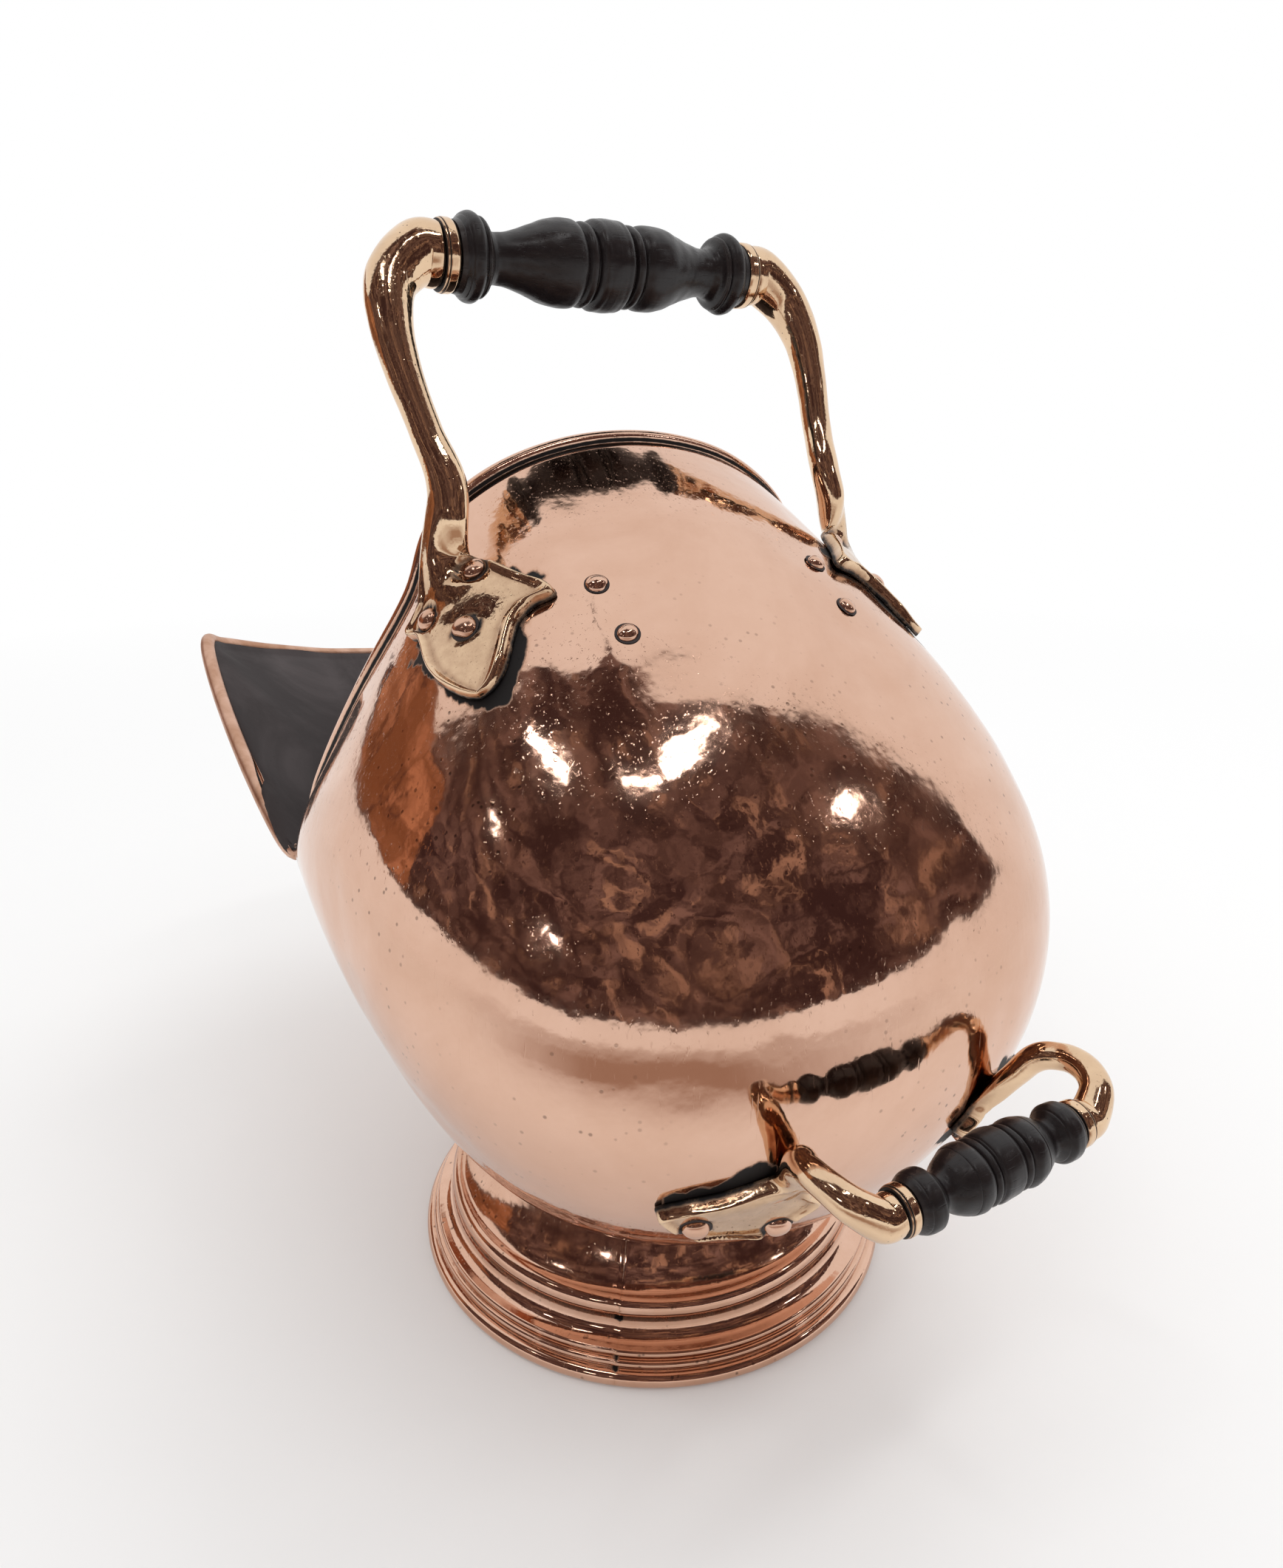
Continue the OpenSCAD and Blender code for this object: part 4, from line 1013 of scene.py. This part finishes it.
def rear_casting():
    s = sizes()
    e = s["rear_arm"]
    elbow = REAR_AXIS + [0, s["rear_grip"] + 4.55, 0]
    root = on_plate(REAR_PLATE, 9.0, -11.0, 0.92 * e)
    end = on_plate(REAR_PLATE, 2.0, -2.0, 0.28 * e)
    reach = np.linalg.norm(root - elbow)
    bends = [[0, 0.11, 0], [0.083, 0.289, 0.124], [0.248, 0.372, 0.193]]
    bends += [[0.468, 0.372, 0.179], [0.688, 0.275, 0.055]]
    path = np.array([elbow, *(elbow + reach * np.array(b) for b in bends), root, end])
    radii = e * np.array([[1.45, 1.45], [1.35, 1.35], [1.16, 1.16], [1.04, 1.04], [1, 1],
                          [1, 1.12], [0.76, 1.5], [0.25, 1.4]])
    ridge = ([-28, -21, -16, -11.7, -8.7, -5, 2, 8, 18], [8, 6, 5, 4, 3.2, 2.2, 0.9, 0.2, 0])
    lean = ([-28, -21, -16, -11.7, -8.7, -6.4, -2, 1, 18], [5, 7.3, 8.8, 8.8, 7.4, 5.4, 0.5, -1.5, -1])
    skew = ([-22, -8, 0, 8, 18], [0, 0, -0.12, -0.1, 0])
    return casting(REAR_PLATE, path, radii, (5.0, 6.6, -28, -5), (72, 44, 48), REAR_WIDTHS, lean,
                   skew, ridge, REAR_RIVETS, s["plate"])


# ---- grips, ferrules and rivets --------------------------------------------------


def grooved(line, grooves):
    """A profile of (distance, radius) sampled finely, with V grooves cut in it."""
    along = np.linspace(line[0][0], line[-1][0], 260)
    radius = table(along, [p[0] for p in line], [p[1] for p in line])
    for place, depth, width in grooves:
        radius = radius - depth * np.exp(-np.abs(along - place) / width)
    return along, radius


def grip_profile(along, radius, bore):
    """A closed profile: over both halves of the outside, and back through the bore."""
    last = along[-1]
    outside = np.concatenate([np.stack([radius[::-1], -along[::-1]], 1)[:-1], np.stack([radius, along], 1)])
    back = np.linspace(last, -last, 9)
    return np.concatenate([outside, np.stack([np.full(9, bore), back], 1)])


def top_grip_line():
    """Half of the carrying grip: a middle bead between two rings, a swelling, a long
    neck and an end bulb with a collar."""
    half = sizes()["top_grip"]
    line = [(0, 15.6), (3, 15.45), (5.6, 14.9), (6.9, 13.5), (7.3, 13.1), (8.2, 13.9), (9.4, 14.3),
            (10.6, 14), (11.4, 13.3), (11.9, 13.4), (13.5, 14.3), (17.5, 14.8), (23, 14.1),
            (29, 11.9), (35, 9.8), (41, 8.5), (44.6, 8.8), (46.6, 10.6), (47.2, 12.1),
            (48.3, 13), (49.2, 12.9), (49.7, 13.3), (51, 14.3), (52.6, 14.5), (54.2, 13.9),
            (55.4, 12.7), (56.2, 12.1), (half, 11.5)]
    return grooved(line, [(7.25, 0.7, 0.28), (11.7, 0.6, 0.28), (47.7, 0.35, 0.2),
                          (49.3, 0.45, 0.2), (54.6, 0.35, 0.18), (55.9, 0.4, 0.2)])


def rear_grip_line():
    """Half of the tipping grip: five ringed swellings, a short neck and an end bulb."""
    half = sizes()["rear_grip"]
    line = [(0, 9.6), (2, 9.55), (3.4, 9.3), (4.2, 8.8), (4.6, 8.5), (5.1, 8.9), (5.9, 9.15),
            (6.7, 8.9), (7.2, 8.5), (7.7, 8.85), (9, 9.4), (10.6, 9.5), (12.2, 9.25), (14, 8.6),
            (17, 7.2), (19.2, 5.5), (20.4, 5.2), (21.4, 5.4), (22.4, 6.3), (23.3, 7.3),
            (24.5, 8.2), (26.2, 8.4), (28.2, 8.15), (29.6, 7.5), (half, 6.4)]
    return grooved(line, [(3.9, 0.3, 0.16), (4.6, 0.4, 0.18), (7.2, 0.45, 0.2), (12.9, 0.3, 0.16),
                          (23.4, 0.3, 0.16), (28.9, 0.25, 0.15)])


def grip_piece(name, place, line, bore, body, nodes, seed):
    profile = grip_profile(*line, bore)
    wobble = lambda spots: 0.09 * ripples(spots, 13, seed) + 0.03 * ripples(spots, 5, seed + 1)
    outside = profile[:, 0] > bore + 0.1
    level = np.convolve(np.pad(profile[:, 0], 9, "edge"), np.ones(19) / 19, "valid")
    wear = (np.clip((profile[:, 0] - level) / 0.8, -0.5, 1) * outside)[:, None]
    made = patch(turned(profile, place, (0, 1, 0), 120, wobble), wrap=True, wear=wear)
    add_piece(name, [made], ["blackened_wood"], body, nodes, 40)


def ferrule_patch(axis, start, width, radius, bore):
    """A ferrule: a rounded band with a fine groove near the arm, open in the middle."""
    y = np.linspace(0, width, 41)
    e = width / 3.2
    drop = np.clip(np.maximum(e - y, y - (width - e)), 0, e)
    r = radius - (e - np.sqrt(np.maximum(e * e - drop * drop, 0))) * 0.8
    r = r - 0.35 * hump(y, width * 0.78, 0.22)
    outer = np.stack([r, start + y], 1)
    inner = [[bore, start + width], [bore, start + width / 2], [bore, start]]
    grid = turned(np.concatenate([outer, inner]), axis, (0, 1, 0), 96)
    # Grime and painted shade in the groove, at both ends where the ferrule meets arm and grip, and in the
    # bore
    soil = np.concatenate([hump(y, width * 0.78, 0.3) + hump(y, 0, 0.4) + hump(y, width, 0.4), np.ones(3)])
    return grid, np.clip(soil, 0, 1)[:, None]


# A washer's thickness and its gap from the sheet, and the thickness of a rivet's tail
ROVE, ROVE_GAP, TAIL = 1.2, 0.7, 1.2


def rivet_grid(place, seat, seed, share):
    """A rivet along the body's normal: a tail disc, a shank and a domed head,
    r = radius * cos t and h = height * sin t, a little knocked about."""
    s = sizes()
    base, out = skin(*place), skin_normal(*place)
    tail = s["sheet"] + ROVE_GAP + ROVE + 0.05
    r, h = share * s["head_radius"], share * s["head_height"]
    t = np.radians(np.linspace(0, 88, 14))
    dome = np.stack([r * np.cos(t) ** 0.9, seat + h * np.sin(t)], 1)
    profile = [[3.2, -tail - TAIL], [3.2, -tail], [2, -tail], [2, seat - 0.7]]
    profile += [[r * 0.93, seat - 0.7], [r, seat - 0.25]]
    profile = np.concatenate([profile, dome])
    wobble = lambda spots: 0.16 * ripples(spots + seed * 7.0, 6, seed)
    return turned(profile, base, out, 40, wobble)


def ring_of_polish_and_shade(place, seat, share):
    """A thin dark ring under a rivet's head: old polish with painted shade."""
    r = share * sizes()["head_radius"] + 0.45
    profile = [[r - 1.2, seat - 0.1], [r + 0.3, seat - 0.1], [r + 0.25, seat + 0.08], [r - 1.2, seat + 0.12]]
    return turned(profile, skin(*place), skin_normal(*place), 40)


def rivet_patches(places, seat, share, seed, side):
    flip = mirrored if side == "right" else (lambda g: g)
    heads = [patch(flip(rivet_grid(p, seat, seed + k, share))) for k, p in enumerate(places)]
    # Each head gets a dark ring in the soot coating's material: painted shade with old polish under the head
    rings = [patch(flip(ring_of_polish_and_shade(p, seat, share)), wrap=True, finish=1) for p in places]
    return heads + rings


class SCUTTLE_OT_carrying_handle(bpy.types.Operator):
    """Cast the carrying arms and turn their ferrules and grip"""

    bl_idname = "scuttle.carrying_handle"
    bl_label = "Carrying handle"

    def execute(self, context):
        build_handle("top", TOP_AXIS, top_casting(), top_grip_line(), 3.25, (5.0, 11.9, 3.05), 41)
        return {"FINISHED"}


class SCUTTLE_OT_tipping_handle(bpy.types.Operator):
    """Cast the tipping arms and turn their ferrules and grip"""

    bl_idname = "scuttle.tipping_handle"
    bl_label = "Tipping handle"

    def execute(self, context):
        build_handle("rear", REAR_AXIS, rear_casting(), rear_grip_line(), 2.45, (4.0, 6.9, 2.25), 51)
        return {"FINISHED"}


def build_handle(which, axis, cast, line, bore, ferrule, seed):
    """Both arms and ferrules and the grip; a ferrule is its width, radius and bore."""
    grid, soil = cast
    band, band_soil_and_shade = ferrule_patch(axis, sizes()[f"{which}_grip"] + 0.4, *ferrule)
    for side, flip in (("left", lambda g: g), ("right", mirrored)):
        arm, round_band = patch(flip(grid), soil=soil), patch(flip(band), wrap=True, soil=band_soil_and_shade)
        for piece, node, made, metal, slot, keen in (
            ("casting", "arm", arm, "cast_brass", "brass_castings", None),
            ("band", "ferrule", round_band, "ferrule_brass", "brass_ferrules", 50),
        ):
            name = f"{which}_{piece}_{side}"
            add_piece(name, [made], [metal], "scuttle", [f"{which}_{node}_{side}"], keen)
    grip_piece(f"{which}_turned_grip", axis, line, bore, f"{which}_grip", [f"{which}_grip"], seed)


class SCUTTLE_OT_copper_rivets(bpy.types.Operator):
    """Set the domed copper rivets in the plates and in the hood"""

    bl_idname = "scuttle.copper_rivets"
    bl_label = "Copper rivets"

    def execute(self, context):
        seat = sizes()["plate"] + 0.55
        groups = (
            ("top", [plate_place(TOP_PLATE, *map(np.array, p)) for p in TOP_RIVETS], seat, 1),
            ("rear", [plate_place(REAR_PLATE, *map(np.array, p)) for p in REAR_RIVETS], seat, 1),
            ("stay", STAY_RIVETS, 0.05, 0.8),
        )
        materials = ["rivet_copper", "soot_coating"]
        for first_seed, (which, places, height, share) in zip((60, 70, 80), groups):
            for seed, side in ((first_seed, "left"), (first_seed + 5, "right")):
                made = rivet_patches(places, height, share, seed, side)
                name, node = f"{which}_heads_{side}", f"{which}_rivets_{side}"
                add_piece(name, made, materials, "scuttle", [node], 40)
        return {"FINISHED"}


class SCUTTLE_OT_hidden_iron(bpy.types.Operator):
    """Give the wires, tie rods, straps and washers of the frame their finishes"""

    bl_idname = "scuttle.hidden_iron"
    bl_label = "Wires, rods and washers"

    def execute(self, context):
        iron = ["rim_wire", "foot_wire", "top_tie_rod", "rear_tie_rod"]
        iron += ["stay_strap_left", "stay_strap_right"]
        washers = [f"{which}_roves_{side}" for which in ("top", "rear") for side in ("left", "right")]
        for name in iron + washers:
            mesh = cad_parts[name].data
            mesh.materials.clear()
            mesh.materials.append(finish_of("wrought_iron" if name in iron else "rivet_copper"))
        return {"FINISHED"}


# ---- the stage ---------------------------------------------------------------------

# The point that the lamps and the screens are hung round, in metres
MIDDLE = np.array([0.02, 0.0, 0.18])


def direction(azimuth, elevation):
    """The unit vector at a compass angle and an angle above the horizon, in degrees."""
    a, e = np.radians(azimuth), np.radians(elevation)
    return np.stack([np.cos(a) * np.cos(e), np.sin(a) * np.cos(e), np.sin(e) * np.ones_like(a)], -1)


def add_stage_mesh(name, grid, material):
    rows, columns = grid.shape[:2]
    i, j = np.meshgrid(np.arange(rows - 1), np.arange(columns - 1), indexing="ij")
    a = (i * columns + j).ravel()
    faces = np.stack([a, a + 1, a + columns + 1, a + columns], 1)
    mesh = bpy.data.meshes.new(name)
    mesh.from_pydata(grid.reshape(-1, 3), [], faces)
    mesh.polygons.foreach_set("use_smooth", np.ones(len(faces), bool))
    mesh.materials.append(material)
    made = bpy.data.objects.new(name, mesh)
    bpy.context.scene.collection.objects.link(made)
    return made


def floor_finish():
    """Pale floor: its own colour near the scuttle, easing to plain white far from it, and
    brown in a zone behind the camera that only the metal mirrors."""
    f = Finish("pale_floor")
    f.set(base_color=finishes().floor, roughness=0.75, specular_ior_level=0.2)
    f.bump(f.noise(600, 3, 0.5), 0.0001, 0.1).done()
    away = f.add("ShaderNodeVectorMath", {0: f.place}, operation="LENGTH").outputs["Value"]
    facing = f.add("ShaderNodeVectorMath", {0: f.place, 1: (-0.9, 0.43, 0)}, operation="DOT_PRODUCT")
    facing = f.compute("DIVIDE", facing.outputs["Value"], away)
    zone = f.times(f.spread(facing, 0.3, 0.95), f.spread(away, 0.26, 0.6))
    zone = f.times(f.times(zone, f.spread(away, 2.6, 1.0)), f.ray("Glossy"))
    white = f.blend(zone, (1, 1, 1), (0.44, 0.31, 0.25))
    amount = f.most(f.times(f.spread(away, 0.45, 1.6), f.direct_rays()), zone)
    return f.glow(white, amount)


def glow_finish(name, dark, warm, light):
    """A screen's own dim colour: three tones in bent clouds and wavy bands."""
    f = Finish(name)
    clouds = f.spread(f.noise(1.9, 5, 0.62, 1.6), 0.4, 0.62)
    bands = f.spread(f.noise(1.0, 5, 0.6, 2.2, f.stretched((1.6, 1.6, 5.5))), 0.42, 0.58)
    first = f.blend(f.times(clouds, bands), dark, warm)
    return f.glow(f.blend(f.spread(f.noise(3.1, 5, 0.65, 1.2), 0.57, 0.64), first, light))


def soft_lamp(name, azimuth, elevation, distance, size, watts):
    lamp = bpy.data.lights.new(name, "AREA")
    lamp.shape = "RECTANGLE"
    lamp.size, lamp.size_y = size
    lamp.energy = watts
    holder = bpy.data.objects.new(name, lamp)
    towards = Vector(direction(float(azimuth), float(elevation)))
    holder.location = Vector(MIDDLE) + towards * distance
    holder.rotation_euler = towards.to_track_quat("Z", "Y").to_euler()
    bpy.context.scene.collection.objects.link(holder)
    return holder


# Each lamp's name, compass angle, height in degrees, size in metres and watts
LAMPS = (
    ("window_left", 109, 62, (0.34, 0.07), 1.0),
    ("window_top", 198, 66, (0.4, 0.08), 1.0),
    ("lamp_middle", 166, 64, (0.2, 0.05), 0.4),
    ("lamp_right", 226, 37, (0.12, 0.06), 0.3),
    ("lamp_low", 124, 23, (0.1, 0.05), 0.2),
    ("lamp_side", 93, 39, (0.07, 0.05), 0.15),
)
# The screen's upper edge: heights in degrees at compass angles
SCREEN_CROWN = (
    [12, 26, 62, 73, 99, 208, 229, 239, 249, 252],
    [4.5, 13, 41, 64, 79, 79, 67, 54, 34, 8],
)
# The camera, solved from the photograph: its place in metres, its turn, its downward look
# and its roll in radians, and its focal length and shift in pixels of the picture's height
CAMERA = (-0.332905, 0.199164, 0.341084)
TURN, DOWN, ROLL_RIGHT = -0.528209, 0.324463, -0.002444
FOCAL, SHIFT, PICTURE, SENSOR = 1416.7, -36.1, 2122, 36


def hang_screens():
    """A dim screen up to its crown and an amber card before it, which only metal mirrors."""
    azimuth = np.linspace(12, 252, 97)
    e = mix(4.0, table(azimuth, *SCREEN_CROWN), np.linspace(0, 1, 40)[:, None])
    dark = glow_finish("dim_screen", (0.05, 0.026, 0.026), (0.26, 0.17, 0.15), (0.42, 0.27, 0.2))
    screen = add_stage_mesh("dim_screen", MIDDLE + 2.2 * direction(azimuth + 0 * e, e), dark)
    azimuth = np.linspace(15, 62, 25)
    e = np.linspace(5, 24, 9)[:, None] + 0 * azimuth
    amber = glow_finish("amber_card", (0.24, 0.1, 0.05), (0.62, 0.3, 0.17), (0.1, 0.045, 0.035))
    card = add_stage_mesh("amber_card", MIDDLE + 1.9 * direction(azimuth + 0 * e, e), amber)
    for hidden in (screen, card):
        hidden.visible_camera = hidden.visible_diffuse = hidden.visible_shadow = False


def lay_world():
    """White for what the camera and the metal see, softer for diffuse light."""
    world = bpy.data.worlds.new("studio")
    bpy.context.scene.world = world
    w = Nodes(world)
    w.tree.nodes.clear()
    soft, white = (
        w.add("ShaderNodeBackground", {"Color": (1, 1, 1), "Strength": strength}).outputs[0]
        for strength in (0.95, 1.0)
    )
    seen = w.add("ShaderNodeMixShader", {0: w.direct_rays(), 1: soft, 2: white}).outputs[0]
    w.add("ShaderNodeOutputWorld", {"Surface": seen})
    bpy.context.scene.view_settings.view_transform = "Standard"


def place_camera():
    """Behind the left of the scuttle, a little above it and close to it."""
    ahead = np.array([math.cos(TURN), math.sin(TURN), 0])
    look = math.cos(DOWN) * ahead - np.array([0, 0, math.sin(DOWN)])
    level = np.array([math.sin(TURN), -math.cos(TURN), 0])
    c, s, upright = math.cos(ROLL_RIGHT), math.sin(ROLL_RIGHT), np.cross(level, look)
    view = bpy.data.cameras.new("camera")
    view.sensor_width = SENSOR
    view.lens = SENSOR * FOCAL / PICTURE
    view.shift_y = SHIFT / PICTURE
    view.clip_start, view.clip_end = 0.01, 50
    axes = np.eye(4)
    axes[:3] = np.stack([c * level + s * upright, c * upright - s * level, -look, CAMERA], 1)
    holder = bpy.data.objects.new("camera", view)
    holder.matrix_world = Matrix(axes)
    bpy.context.scene.collection.objects.link(holder)
    bpy.context.scene.camera = holder


class SCUTTLE_OT_studio(bpy.types.Operator):
    """Lay the pale floor, hang the lamps and screens, and place the camera"""

    bl_idname = "scuttle.studio"
    bl_label = "Studio"

    def execute(self, context):
        turn = np.linspace(0, 2 * np.pi, 97)[None, :]
        reach = np.array([0.001, 0.3, 0.8, 2, 9])[:, None]
        floor = np.stack([reach * np.cos(turn), reach * np.sin(turn), 0 * reach * turn], -1)
        add_stage_mesh("floor", floor - [0, 0, 0.0002], floor_finish())
        hang_screens()
        for name, azimuth, elevation, size, watts in LAMPS:
            soft_lamp(name, azimuth, elevation, 1.5, size, watts)
        soft_lamp("softbox", 285, 62, 2.2, (1.1, 1.1), 6.0).visible_glossy = False
        lay_world()
        place_camera()
        return {"FINISHED"}


# ---- the add-on -----------------------------------------------------------------------

OPERATORS = (
    SCUTTLE_OT_copper_body,
    SCUTTLE_OT_rolled_bead,
    SCUTTLE_OT_moulded_foot,
    SCUTTLE_OT_carrying_handle,
    SCUTTLE_OT_tipping_handle,
    SCUTTLE_OT_copper_rivets,
    SCUTTLE_OT_hidden_iron,
    SCUTTLE_OT_studio,
)


class SCUTTLE_PT_panel(bpy.types.Panel):
    """Lists the scuttle's sizes, finishes and pieces"""

    bl_idname = "SCUTTLE_PT_panel"
    bl_label = "Coal scuttle"
    bl_space_type = "VIEW_3D"
    bl_region_type = "UI"
    bl_category = "Scuttle"

    def draw(self, context):
        for held in (context.scene.scuttle_sizes, context.scene.scuttle_finishes):
            box = self.layout.box()
            for name in type(held).__annotations__:
                box.prop(held, name)
        for operator in OPERATORS:
            self.layout.operator(operator.bl_idname)


CLASSES = (ScuttleSizes, ScuttleFinishes, *OPERATORS, SCUTTLE_PT_panel)


def register():
    for each in CLASSES:
        bpy.utils.register_class(each)
    bpy.types.Scene.scuttle_sizes = PointerProperty(type=ScuttleSizes)
    bpy.types.Scene.scuttle_finishes = PointerProperty(type=ScuttleFinishes)


def unregister():
    del bpy.types.Scene.scuttle_finishes
    del bpy.types.Scene.scuttle_sizes
    for each in reversed(CLASSES):
        bpy.utils.unregister_class(each)


def main():
    register()
    for operator in OPERATORS:
        getattr(bpy.ops.scuttle, operator.bl_idname.split(".")[1])()


if __name__ == "__main__":
    main()
